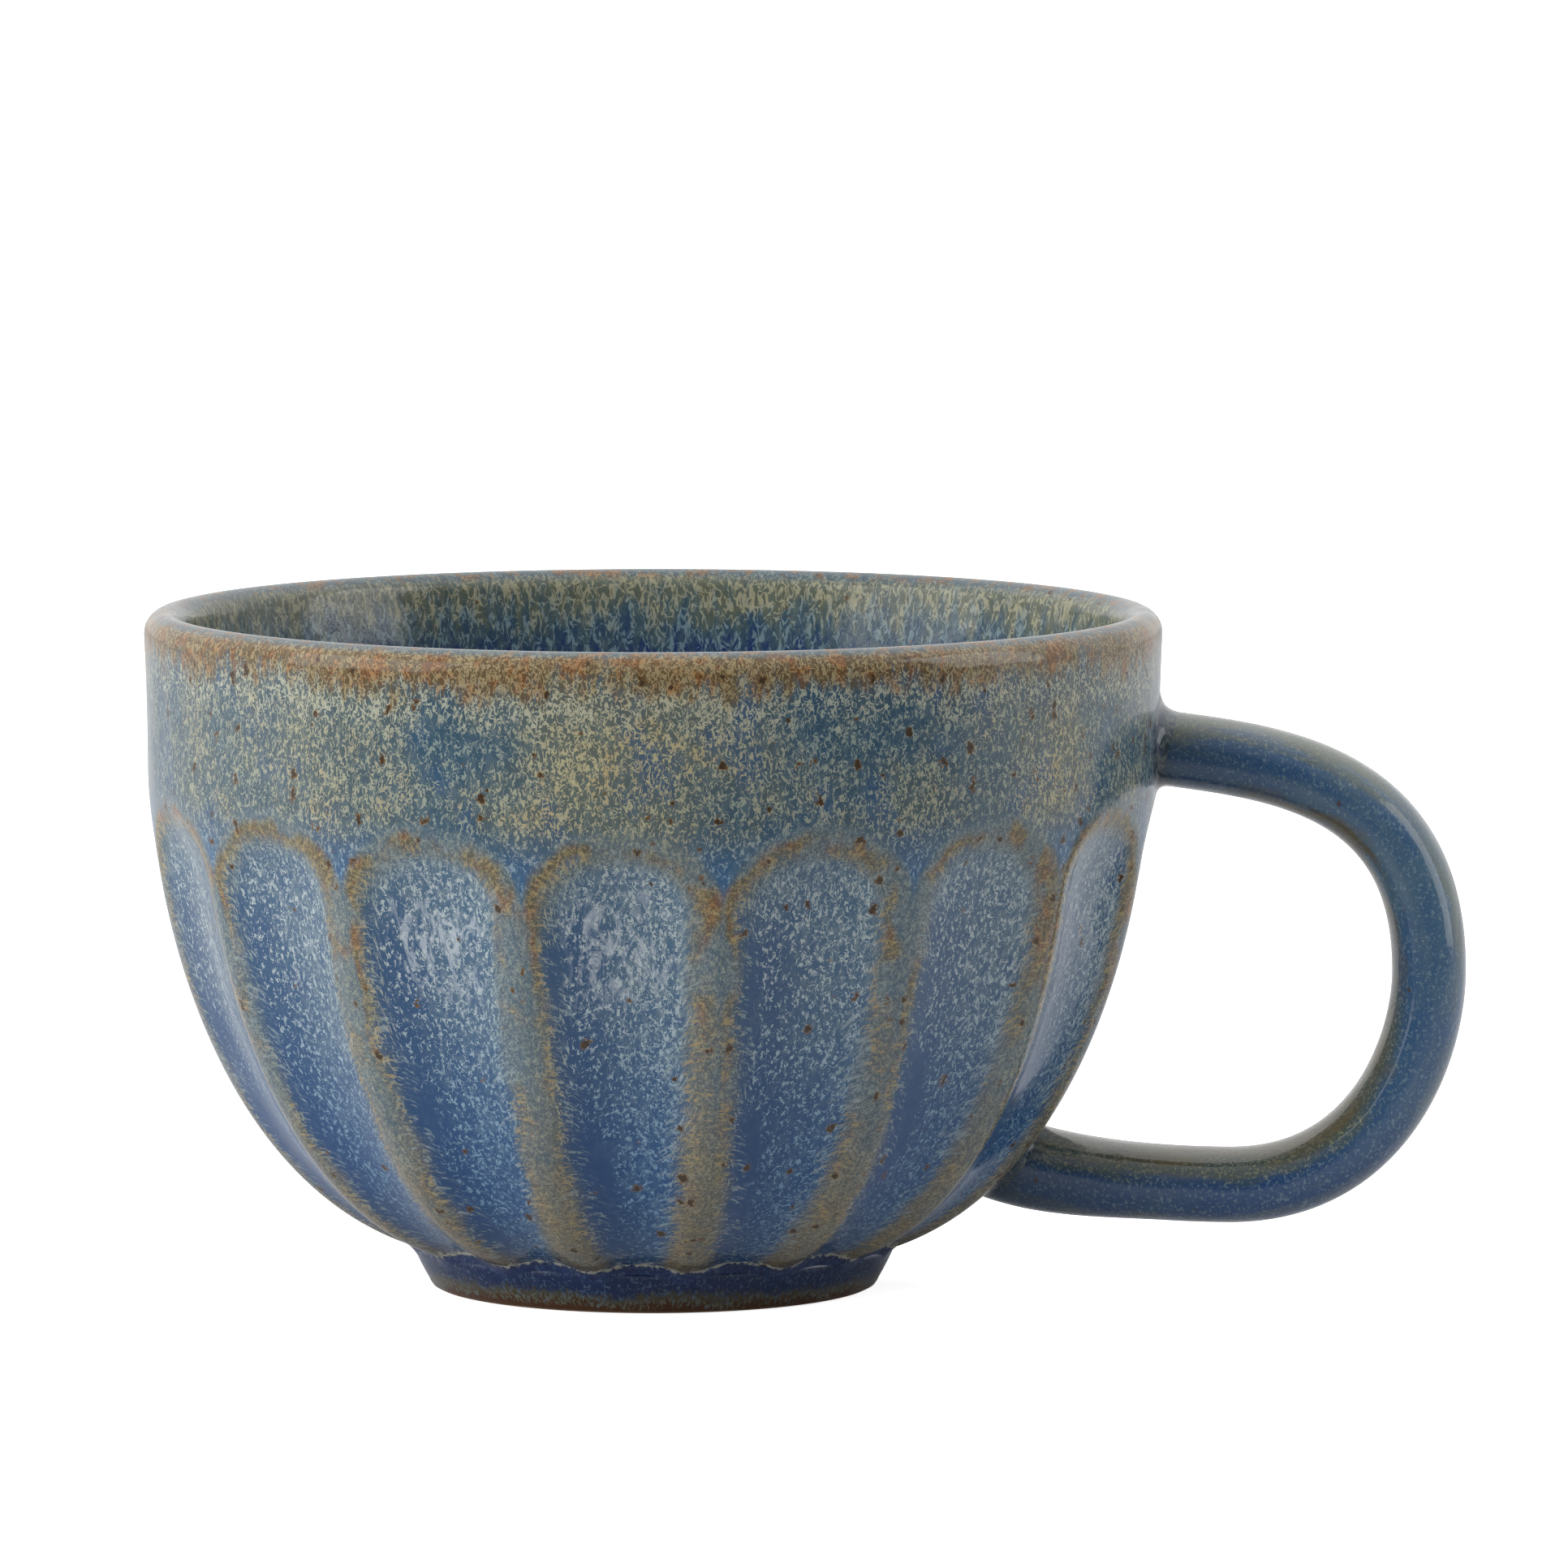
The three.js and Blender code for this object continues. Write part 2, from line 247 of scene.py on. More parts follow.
# Marks that the glaze follows: millimetres below the lip's crest, above the foot and inside a
# flute's edge, and the place across a flute from -1 to 1.
base_count, wall_count, lip_count = len(base_reach), len(wall_reach), len(lip_reach)
section_length = np.concatenate([[0], np.cumsum(np.hypot(
    np.diff(bowl_reach[:, 0]), np.diff(bowl_height[:, 0])
))])
crest = base_count + wall_count + lip_count // 2
from_lip = (section_length[crest] - section_length)[:, None]
from_foot = np.abs(section_length - section_length[base_count])[:, None]
wall_edge = edge_distance(theta[None, :], wall_reach[:, None], wall_height[:, None])
FAR_FROM_FLUTES = -30.0
edge_mark = np.full(bowl_reach.shape, FAR_FROM_FLUTES)
edge_mark[base_count:base_count + wall_count] = wall_edge
edge_mark[:base_count] = 0
flute_side = (theta / FLUTE_PITCH - np.round(theta / FLUTE_PITCH)) * 2


def brush_direction():
    """Out from a flute's middle, along its edge, and a number for the flute, at each corner of
    each face. The glaze draws into fine hairs across each edge, so its pattern follows these."""
    vectors = np.zeros((len(bowl_reach) - 1, COLUMNS, 4, 3))
    rows = np.arange(wall_count - 1)
    for corner, (down, right) in enumerate(((0, 0), (0, 1), (1, 1), (1, 0))):
        reach = wall_reach[rows + down][:, None]
        height = wall_height[rows + down][:, None]
        angle = 2 * math.pi * (np.arange(COLUMNS) + right) / COLUMNS
        middle = 2 * math.pi * (np.arange(COLUMNS) + 0.5) / COLUMNS
        flute = np.round(middle / FLUTE_PITCH)
        side = np.sign(middle - FLUTE_PITCH * flute)
        across = np.abs(angle - FLUTE_PITCH * flute)[None, :] * reach
        half_width = FLUTE_PITCH / 2 * reach - RIDGE_WIDTH / 2
        up = np.maximum(0, height - ARCH_SPRING) / ARCH_HEIGHT
        turn = np.arctan2(up, across / half_width)
        turn = np.where(side > 0, turn, math.pi - turn)
        below = np.maximum(0, np.interp(ARCH_SPRING, wall_height, np.arange(wall_count))
                           - (rows + down))[:, None] * wall_step
        out = np.hypot(across / half_width, up) * half_width
        lean = HAIR_LEAN * np.abs(np.cos(turn)) * np.maximum(0, half_width - out) ** 2
        vectors[base_count:base_count + wall_count - 1, :, corner] = np.stack([
            out,
            turn * ARCH_UNROLLED - side * (below - lean),
            np.broadcast_to(flute * FLUTES_APART, across.shape),
        ], axis=-1)
    return vectors


# Where round the wall the glaze went on thick and set creamy, and where it feathered white: each
# place is an angle and a width in degrees, and a strength.
CREAMY = ((-89, 9, 1.0), (-134, 15, 0.45), (-37, 13, 0.55), (38, 12, 0.8), (96, 10, 0.9),
          (150, 15, 0.7))
FEATHERED = ((-103, 20, 1.0), (5, 25, 0.7), (75, 20, 0.9), (140, 18, 0.8))


def around_wall(places):
    """Strength of a list of soft patches at every column."""
    total = np.zeros(COLUMNS)
    for middle, width, strength in places:
        off = (np.degrees(theta) - middle + 180) % 360 - 180
        total += strength * np.exp(-0.5 * (off / width) ** 2)
    return np.minimum(total, 1)


bowl = glazed_skin(
    "fluted_bowl", turned(bowl_reach, bowl_height),
    {"from_lip": from_lip, "flute_edge": edge_mark, "from_foot": from_foot,
     "flute_side": flute_side[None, :], "creamy": around_wall(CREAMY)[None, :],
     "feathered": around_wall(FEATHERED)[None, :]},
    {"brush": brush_direction()},
)


def tone(red, green, blue):
    """A glaze colour, from its strength in each channel out of 255."""
    shares = (value / 255 for value in (red, green, blue))
    return tuple(s / 12.92 if s <= 0.04045 else ((s + 0.055) / 1.055) ** 2.4
                 for s in shares) + (1.0,)


class Recipe:
    """Adds the nodes of one glaze or of one effect, and joins them up."""

    def __init__(self, tree):
        self.tree = tree

    def put(self, socket, value):
        if isinstance(value, bpy.types.NodeSocket):
            self.tree.links.new(value, socket)
        elif value is not None:
            socket.default_value = value

    def add(self, kind, inputs=(), **settings):
        node = self.tree.nodes.new(kind)
        for name, value in settings.items():
            setattr(node, name, value)
        for place, value in dict(inputs).items():
            self.put(node.inputs[place], value)
        return node

    def math(self, operation, *values, clamp=False):
        node = self.add("ShaderNodeMath", enumerate(values), operation=operation, use_clamp=clamp)
        return node.outputs[0]

    def plus(self, first, second, clamp=False):
        return self.math("ADD", first, second, clamp=clamp)

    def minus(self, first, second):
        return self.math("SUBTRACT", first, second)

    def times(self, *values):
        result = values[0]
        for value in values[1:]:
            result = self.math("MULTIPLY", result, value)
        return result

    def share(self, value, low, high, out_low=0.0, out_high=1.0):
        node = self.add("ShaderNodeMapRange", {"Value": value, "From Min": low, "From Max": high,
                                               "To Min": out_low, "To Max": out_high},
                        interpolation_type="SMOOTHSTEP")
        return node.outputs["Result"]

    def sway(self, noise, amount):
        """A noise as a shift to and fro, for a border that wanders."""
        return self.share(noise, 0.3, 0.7, -amount, amount)

    def bump_at(self, value, middle, width):
        """1 at the middle, falling to 0 a width away on both sides."""
        away = self.math("ABSOLUTE", self.minus(value, middle))
        return self.share(away, width, 0.0)

    def blend(self, share, first, second):
        node = self.add("ShaderNodeMix", data_type="RGBA")
        self.put(node.inputs[0], share)
        self.put(node.inputs[6], first)
        self.put(node.inputs[7], second)
        return node.outputs[2]

    def stretch(self, vector, scale, shift=(0, 0, 0)):
        node = self.add("ShaderNodeMapping", {"Vector": vector, "Location": shift, "Scale": scale})
        return node.outputs[0]

    def noise(self, vector, size, detail=2.0, roughness=0.5, distortion=0.0):
        scale = self.math("DIVIDE", 1.0, size) if not isinstance(size, (int, float)) else 1 / size
        node = self.add("ShaderNodeTexNoise", {
            "Vector": vector, "Scale": scale, "Detail": detail,
            "Roughness": roughness, "Distortion": distortion,
        })
        return node.outputs["Fac"]

    def mark(self, name):
        return self.add("ShaderNodeAttribute", attribute_name=name).outputs["Fac"]

    def millimetres(self):
        place = self.add("ShaderNodeTexCoord").outputs["Object"]
        node = self.add("ShaderNodeVectorMath", {0: place, "Scale": 1000.0}, operation="SCALE")
        return node.outputs[0]

    def axis(self, vector, name):
        return self.add("ShaderNodeSeparateXYZ", {0: vector}).outputs[name]

    def effect(self, group, **inputs):
        node = self.add("ShaderNodeGroup", node_tree=group)
        for name, value in inputs.items():
            self.put(node.inputs[name.replace("_", " ")], value)
        return node.outputs


def effect_group(name, inputs, outputs):
    """A named node group with its sockets, and the recipe that fills it."""
    group = bpy.data.node_groups.new(name, "ShaderNodeTree")
    kinds = {"vector": "NodeSocketVector", "value": "NodeSocketFloat"}
    for label, (kind, default) in inputs.items():
        socket = group.interface.new_socket(label, in_out="INPUT", socket_type=kinds[kind])
        if default is not None:
            socket.default_value = default
    for label, kind in outputs.items():
        group.interface.new_socket(label, in_out="OUTPUT", socket_type=kinds[kind])
    recipe = Recipe(group)
    return group, recipe, recipe.add("NodeGroupInput").outputs, recipe.add("NodeGroupOutput").inputs


# Crystals that float up in the glaze as it cools: thin wriggling threads, broken into short
# ones where they are few, and joined to a net where they are many.
threads, r, given, result = effect_group(
    "crystal_threads",
    {"Vector": ("vector", None), "Width": ("value", 0.9), "Length": ("value", 1.8),
     "Cover": ("value", 0.4), "Softness": ("value", 0.013)},
    {"Mask": "value"},
)
slow = r.add("ShaderNodeCombineXYZ", {"X": 1.0, "Y": 1.0,
                                      "Z": r.math("DIVIDE", 1.0, given["Length"])})
drawn = r.add("ShaderNodeVectorMath", {0: given["Vector"], 1: slow.outputs[0]},
              operation="MULTIPLY").outputs[0]
grain = r.noise(drawn, given["Width"], 2.0, 0.55, 0.8)
broken = r.noise(r.stretch(drawn, (1, 1, 1), (31, 17, 5)), given["Width"], 2.0, 0.5)
from_line = r.math("ABSOLUTE", r.minus(grain, 0.5))
gap = r.times(r.minus(broken, 0.5), r.minus(1.0, given["Cover"]), 0.42)
reach = r.plus(r.times(given["Cover"], 0.080), gap)
line = r.share(from_line, r.plus(reach, given["Softness"]), r.minus(reach, given["Softness"]))
r.put(result["Mask"], r.times(line, r.share(given["Cover"], 0.0, 0.08)))

# Iron in the clay that burns through the glaze as rust-brown specks.
specks, r, given, result = effect_group(
    "iron_specks",
    {"Vector": ("vector", None), "Spacing": ("value", 5.0), "Size": ("value", 0.5),
     "Share": ("value", 0.5)},
    {"Mask": "value"},
)
wander = r.noise(given["Vector"], 0.7, 3.0, 0.65)
cells = r.add("ShaderNodeTexVoronoi", {
    "Vector": r.stretch(given["Vector"], (1, 1, 0.8)),
    "Scale": r.math("DIVIDE", 1.0, given["Spacing"]), "Randomness": 1.0,
})
chance = r.add("ShaderNodeSeparateColor", {"Color": cells.outputs["Color"]}).outputs
reach = r.times(given["Size"], r.share(chance["Green"], 0.0, 1.0, 0.35, 1.0),
                r.share(wander, 0.35, 0.65, 0.35, 1.5))
distance = r.times(cells.outputs["Distance"], given["Spacing"])
spot = r.share(r.math("DIVIDE", distance, reach), 1.1, 0.5)
r.put(result["Mask"], r.times(spot, r.math("LESS_THAN", chance["Red"], given["Share"])))

# The glaze's skin: slightly uneven like orange peel, raised a little where crystals lie.
surface, r, given, result = effect_group(
    "glaze_surface",
    {"Vector": ("vector", None), "Crystals": ("value", 0.0), "Gloss": ("value", 0.14)},
    {"Height": "value", "Roughness": "value"},
)
peel = r.noise(given["Vector"], 2.2, 2.0, 0.5)
slump = r.noise(given["Vector"], 9.0, 1.0, 0.5)
height = r.plus(r.times(peel, 0.05), r.times(slump, 0.30))
r.put(result["Height"], r.plus(height, r.times(given["Crystals"], 0.012)))
r.put(result["Roughness"], r.plus(given["Gloss"], r.times(given["Crystals"], 0.06)))


def glaze_shader(name):
    """An empty material with its recipe and its Principled shader."""
    material = bpy.data.materials.new(name)
    material.use_nodes = True
    tree = material.node_tree
    tree.nodes.clear()
    recipe = Recipe(tree)
    shader = recipe.add("ShaderNodeBsdfPrincipled")
    shader.inputs["IOR"].default_value = 1.5
    output = recipe.add("ShaderNodeOutputMaterial", {"Surface": shader.outputs[0]})
    output.is_active_output = True
    return material, recipe, shader.inputs


def finish_glaze(recipe, sockets, colour, place, crystals, gloss):
    """Joins a glaze's colour and its skin to the shader."""
    skin = recipe.effect(surface, Vector=place, Crystals=crystals, Gloss=gloss)
    recipe.put(sockets["Base Color"], colour)
    recipe.put(sockets["Roughness"], skin["Roughness"])
    bump = recipe.add("ShaderNodeBump", {"Height": skin["Height"], "Strength": 1.0,
                                         "Distance": 0.001})
    recipe.put(sockets["Normal"], bump.outputs[0])


bowl_glaze, r, shader = glaze_shader("running_blue_glaze")
place = r.millimetres()
from_lip = r.mark("from_lip")
edge = r.mark("flute_edge")
brush = r.add("ShaderNodeAttribute", attribute_name="brush").outputs["Vector"]
height = r.axis(place, "Z")

cloud = r.noise(r.stretch(place, (1, 1, 0.8)), 11.0, 3.0, 0.6)
drift = r.noise(r.stretch(place, (1, 1, 0.6), (40, 10, 0)), 5.5, 2.5, 0.55)
mottle = r.noise(r.stretch(place, (1, 1, 0.6), (20, 5, 9)), 1.3, 4.0, 0.65, 0.6)
rust = r.noise(r.stretch(place, (1, 1, 0.8), (3, 50, 9)), 2.6, 5.0, 0.68, 0.3)
streak = r.noise(r.stretch(place, (1, 1, 0.22)), 0.36, 3.0, 0.62, 0.4)
drip = r.noise(r.stretch(place, (1, 1, 0.3)), 1.7, 3.0, 0.6)
creamy = r.plus(r.mark("creamy"), r.share(cloud, 0.3, 0.7, -0.30, 0.40), clamp=True)
feathered = r.mark("feathered")
from_foot = r.mark("from_foot")
side = r.mark("flute_side")

# Under the crystals: slate blue, brighter blue where it pools in flutes and between their arches,
# olive grey where it is thin.
SLATE, OLIVE_GREY = tone(52, 78, 96), tone(90, 97, 90)
FLUTE_BLUE, LOW_FLUTE_BLUE = tone(66, 94, 118), tone(28, 70, 116)
BETWEEN_BLUE, DRIFT_BLUE = tone(44, 88, 130), tone(44, 76, 116)
MOTTLE_GREY, LOW_MOTTLE_BLUE = tone(108, 126, 132), tone(76, 106, 134)
POOL_AND_SHADE_BLUE, LOW_POOL_AND_SHADE_BLUE = tone(34, 70, 108), tone(24, 64, 110)
in_flute = r.share(edge, 0.3, 3.5)
between = r.times(r.share(edge, -0.6, -2.0), r.bump_at(height, 51.0, 8.0))
low_down = r.share(height, 46.0, 14.0)
# Deep blue low in each flute, on the side that is left when seen from the front: partly glaze
# pooled there, partly painted shade on that side, which turns away from the light on the left.
pool_and_shade = r.times(r.share(edge, -0.3, 1.8), r.share(side, 0.2, -0.5), r.share(height, 52.0, 44.0))
under = r.blend(creamy, SLATE, OLIVE_GREY)
under = r.blend(in_flute, under, r.blend(low_down, FLUTE_BLUE, LOW_FLUTE_BLUE))
under = r.blend(r.times(between, 0.8), under, BETWEEN_BLUE)
under = r.blend(r.share(drift, 0.52, 0.68, 0.0, 0.5), under, DRIFT_BLUE)
under = r.blend(r.times(r.share(mottle, 0.44, 0.66), r.share(in_flute, 0.0, 1.0, 0.25, 0.5)),
                under, r.blend(low_down, MOTTLE_GREY, LOW_MOTTLE_BLUE))
under = r.blend(r.times(pool_and_shade, 0.75), under, r.blend(low_down, POOL_AND_SHADE_BLUE, LOW_POOL_AND_SHADE_BLUE))

# The rim: runs of tan and rust, thin enough on the lip's crest to let blue grey through.
RIM_TAN, RIM_RUST, RIM_GREY = tone(94, 76, 46), tone(108, 70, 34), tone(84, 92, 88)
TAN_CRYSTAL, RUST_CRYSTAL = tone(146, 130, 96), tone(152, 114, 72)
ragged = r.plus(from_lip, r.sway(streak, 0.7))
ragged = r.plus(ragged, r.sway(drip, 1.2))
ragged = r.minus(ragged, r.share(cloud, 0.35, 0.65, -1.0, 1.0))
on_rim = r.times(r.share(ragged, 7.0, 3.8), r.share(from_lip, 1.0, 2.2))
rusty = r.share(rust, 0.48, 0.62)
rim_under = r.blend(rusty, RIM_TAN, RIM_RUST)
rim_under = r.blend(r.share(drift, 0.56, 0.70, 0.0, 0.8), rim_under, RIM_GREY)
rim_crystal = r.blend(rusty, TAN_CRYSTAL, RUST_CRYSTAL)
under = r.blend(r.times(on_rim, 0.9), under, rim_under)

# Crystals: cream below the lip, pale blue lower down, gold where the glaze is creamy over rust.
SAGE_CRYSTAL, CREAM_CRYSTAL = tone(126, 140, 136), tone(168, 162, 128)
GOLD_CRYSTAL, RUN_CRYSTAL = tone(170, 144, 100), tone(166, 168, 150)
BETWEEN_CRYSTAL = tone(112, 142, 166)
PALE_CRYSTAL, BLUE_CRYSTAL = tone(162, 174, 176), tone(106, 142, 168)
runs = r.bump_at(ragged, 7.5, 3.5)
cover = r.plus(0.38, r.share(cloud, 0.36, 0.64, -0.06, 0.06))
cover = r.plus(cover, r.times(creamy, r.share(height, 50.0, 58.0), 0.12))
cover = r.plus(cover, r.times(runs, 0.16))
cover = r.plus(cover, r.times(on_rim, 0.16))
cover = r.minus(cover, r.times(between, 0.22))
cover = r.minus(cover, r.times(in_flute, r.share(low_down, 0.0, 1.0, 0.03, 0.15)))
cover = r.minus(cover, r.times(r.bump_at(edge, 1.6, 2.2), 0.10))
# Fewer crystals in the pooled glaze and painted shade on the flutes' left sides.
cover = r.minus(cover, r.times(pool_and_shade, 0.22))
width = r.share(in_flute, 0.0, 1.0, 0.52, 0.48)
fleck = r.effect(threads, Vector=place, Width=width, Length=1.6, Cover=cover)["Mask"]
crystal = r.blend(creamy, SAGE_CRYSTAL, CREAM_CRYSTAL)
crystal = r.blend(r.times(rusty, creamy, 0.5), crystal, GOLD_CRYSTAL)
crystal = r.blend(r.times(runs, 0.7), crystal, RUN_CRYSTAL)
crystal = r.blend(between, crystal, BETWEEN_CRYSTAL)
crystal = r.blend(in_flute, crystal, r.blend(low_down, PALE_CRYSTAL, BLUE_CRYSTAL))
crystal = r.blend(on_rim, crystal, rim_crystal)
colour = r.blend(fleck, under, crystal)

# White feathers high in a flute.
FEATHER_WHITE = tone(176, 184, 192)
flute_head = r.times(r.share(edge, 1.5, 6.0), r.bump_at(height, 44.5, 12.0), feathered)
plume = r.noise(r.stretch(place, (1, 1, 0.4), (7, 3, 60)), 1.5, 4.0, 0.65, 1.4)
plume = r.share(r.plus(plume, r.times(flute_head, 0.11)), 0.53, 0.70)
colour = r.blend(r.times(plume, flute_head, 0.8), colour, FEATHER_WHITE)

# Ridges between flutes, grey blue high up and tan low down, under very fine crystals.
RIDGE_BLUE, RIDGE_TAN = tone(76, 96, 110), tone(96, 90, 74)
RIDGE_CRYSTAL, LOW_RIDGE_CRYSTAL = tone(128, 140, 140), tone(150, 134, 100)
wander = r.plus(edge, r.sway(drift, 1.0))
wander = r.minus(wander, r.times(r.share(edge, -1.2, 1.0), side, 0.9))
ridge = r.times(r.bump_at(wander, -0.4, 2.8), r.share(edge, -2.4, -1.3),
                r.share(between, 0.0, 1.0, 1.0, 0.2))
core = r.bump_at(wander, 0.4, 1.7)
patchy = r.share(drift, 0.40, 0.56, 0.2, 1.0)
arches = r.share(height, 28.0, 46.0, 0.35, 1.0)
burnt = r.times(core, patchy, arches)
fine = r.effect(threads, Vector=place, Width=0.42, Length=1.3, Cover=0.50)["Mask"]
low_ridge = r.share(height, 34.0, 10.0)
ridge_glaze = r.blend(low_ridge, RIDGE_BLUE, RIDGE_TAN)
ridge_glaze = r.blend(fine, ridge_glaze, r.blend(low_ridge, RIDGE_CRYSTAL, LOW_RIDGE_CRYSTAL))
colour = r.blend(r.times(ridge, 0.7), colour, ridge_glaze)

# Breaks brown along the flutes' edges, drawn out into fine hairs that run down into the flutes.
BURNT_OLIVE, BURNT_RUST = tone(86, 76, 52), tone(106, 72, 40)
STRAW_CRYSTAL, AMBER_CRYSTAL = tone(138, 124, 86), tone(150, 112, 66)
BLUE_HAIR, GOLD_HAIR = tone(138, 154, 156), tone(164, 144, 98)
burnt_glaze = r.blend(rusty, BURNT_OLIVE, BURNT_RUST)
burnt_glaze = r.blend(fine, burnt_glaze, r.blend(rusty, STRAW_CRYSTAL, AMBER_CRYSTAL))
colour = r.blend(r.times(burnt, 0.9), colour, burnt_glaze)
hair_cover = r.times(r.bump_at(wander, 1.7, 2.6), r.share(burnt, 0.0, 1.0, 0.38, 0.25))
# Fewer hairs in the pooled glaze and painted shade on the flutes' left sides.
hair_cover = r.times(hair_cover, r.share(pool_and_shade, 0.0, 1.0, 1.0, 0.4))
hair = r.effect(threads, Vector=r.stretch(brush, (0.34, 1, 1)), Width=0.54, Length=1.0,
                Cover=hair_cover)["Mask"]
golden = r.share(r.times(r.bump_at(wander, 0.8, 2.6), patchy), 0.1, 0.7)
hair_colour = r.blend(golden, BLUE_HAIR, GOLD_HAIR)
colour = r.blend(r.times(hair, 0.65), colour, hair_colour)

# On the crest of the lip.
LIP_BLUE, LIP_BROWN = tone(56, 74, 84), tone(98, 72, 44)
LIP_GREY_CRYSTAL, LIP_TAN_CRYSTAL = tone(100, 112, 110), tone(132, 98, 64)
lip_top = r.times(r.share(from_lip, 2.2, 0.9), r.share(from_lip, -2.5, -0.8))
lip_under = r.blend(r.share(rust, 0.50, 0.58), LIP_BLUE, LIP_BROWN)
lip_colour = r.blend(fleck, lip_under, r.blend(rusty, LIP_GREY_CRYSTAL, LIP_TAN_CRYSTAL))
colour = r.blend(lip_top, colour, lip_colour)

# A roll of olive glaze, then a ragged line of pale crystals, where it stopped above the foot.
ROLL_OLIVE, TIDE_WHITE = tone(88, 76, 50), tone(176, 174, 158)
tide = r.plus(from_foot, r.sway(drip, 0.9))
tide = r.plus(tide, r.sway(streak, 0.6))
tide = r.plus(tide, r.share(hair, 0.0, 1.0, 0.0, -0.3))
roll = r.times(r.bump_at(tide, 2.8, 2.0), r.share(edge, 3.5, -0.5, 0.2, 1.0))
colour = r.blend(r.times(roll, 0.75), colour, ROLL_OLIVE)
colour = r.blend(r.share(tide, 1.55, 1.1), colour, TIDE_WHITE)

# Inside the bowl the same glaze lies thicker, teal to deep blue under tan and cream runs.
INNER_OLIVE, INNER_TEAL, INNER_DEEP = tone(88, 92, 76), tone(48, 72, 86), tone(20, 42, 94)
INNER_GREY, RUN_CREAM, RUN_BLUE = tone(84, 100, 98), tone(160, 156, 128), tone(112, 136, 144)
inside = r.share(from_lip, -1.2, -2.6)
inner_ragged = r.minus(r.sway(drip, 2.4), from_lip)
inner_ragged = r.plus(inner_ragged, r.sway(streak, 0.8))
inner_under = r.blend(r.share(inner_ragged, 2.5, 8.0), INNER_OLIVE, INNER_TEAL)
inner_under = r.blend(r.share(inner_ragged, 6.0, 14.0), inner_under, INNER_DEEP)
inner_under = r.blend(r.share(mottle, 0.42, 0.66, 0.0, 0.5), inner_under, INNER_GREY)
inner_cover = r.share(inner_ragged, 2.0, 12.0, 0.58, 0.22)
inner_fleck = r.effect(threads, Vector=place, Width=0.85, Length=2.2, Cover=inner_cover,
                       Softness=0.03)["Mask"]
inner_crystal = r.blend(r.share(inner_ragged, 2.5, 9.0), RUN_CREAM, RUN_BLUE)
inner_colour = r.blend(r.times(inner_fleck, 0.75), inner_under, inner_crystal)
colour = r.blend(inside, colour, inner_colour)

# Specks of iron, most of them where the glaze is thin.
IRON_RUST, IRON_DARK = tone(112, 80, 42), tone(58, 44, 28)
many = r.times(r.share(in_flute, 0.0, 1.0, 0.75, 0.20), r.share(inside, 0.0, 1.0, 1.0, 0.3))
iron = r.effect(specks, Vector=place, Spacing=2.4, Size=0.60, Share=many)["Mask"]
iron_colour = r.blend(r.share(iron, 0.45, 1.0), IRON_RUST, IRON_DARK)
colour = r.blend(r.math("MULTIPLY", iron, 1.6, clamp=True), colour, iron_colour)
finish_glaze(r, shader, colour, place, fleck, 0.11)

bowl.data.materials.append(bowl_glaze)
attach(bowl, "root")
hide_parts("bowl")

# Foot ring -------------------------------------------------------------------
# A ring of the same stoneware, luted under the bowl and turned true. Its wall flares to meet the
# bowl and is glazed, its standing face is wiped bare so that it doesn't stick to the kiln shelf.

FOOT_WALL = ((24.10, 0.0), (24.75, 0.10), (25.20, 0.32), (25.42, 0.65), (25.62, 1.05),
             (26.10, 1.90), (26.62, 2.90), (27.05, 3.80), (27.25, 4.25))
FOOT_WALL_RINGS = 33
FOOT_STAND_MIDDLE = 22.4
FOOT_STAND_INNER = 20.5
FOOT_INNER = 20.0
FOOT_TOP_MIDDLE = 24.0
BURIED = 0.3

corner_height = outer_height[0]
corner_reach = outer_reach[0]
outline = np.array(FOOT_WALL)
steps = np.linspace(0, len(outline) - 1, FOOT_WALL_RINGS)
foot_outer_reach = np.interp(steps, np.arange(len(outline)), outline[:, 0])
foot_outer_height = np.interp(steps, np.arange(len(outline)), outline[:, 1])
foot_reach_rows, foot_height_rows = plain_rings(
    np.concatenate([[FOOT_INNER, FOOT_INNER + 0.15, FOOT_STAND_INNER, FOOT_STAND_INNER + 0.5,
                     FOOT_STAND_MIDDLE], foot_outer_reach]),
    np.concatenate([[BASE_HEIGHT + BURIED, 1.0, 0.25, 0.0, 0.0], foot_outer_height]),
)
top_reach = np.stack([np.minimum(foot_outer_reach[-1], corner_reach + 0.1),
                      np.full(COLUMNS, FOOT_TOP_MIDDLE), np.full(COLUMNS, FOOT_INNER + 0.2)])
top_height = np.stack([corner_height + BURIED, np.full(COLUMNS, BASE_HEIGHT + BURIED),
                       np.full(COLUMNS, BASE_HEIGHT + BURIED)])
foot_rings = turned(np.concatenate([foot_reach_rows, top_reach]),
                    np.concatenate([foot_height_rows, top_height]))


def closed_band(name, rings, marks=None):
    """Mesh of rings that close on each other, like a tyre."""
    count, around = rings.shape[:2]
    mesh = closed_mesh(name, rings.reshape(-1, 3), ring_quads(count, count, around))
    for label, values in (marks or {}).items():
        put_mark(mesh, label, np.broadcast_to(values, (count, around)))
    return stand(name, mesh)


foot = closed_band("foot_ring_glazed", foot_rings)

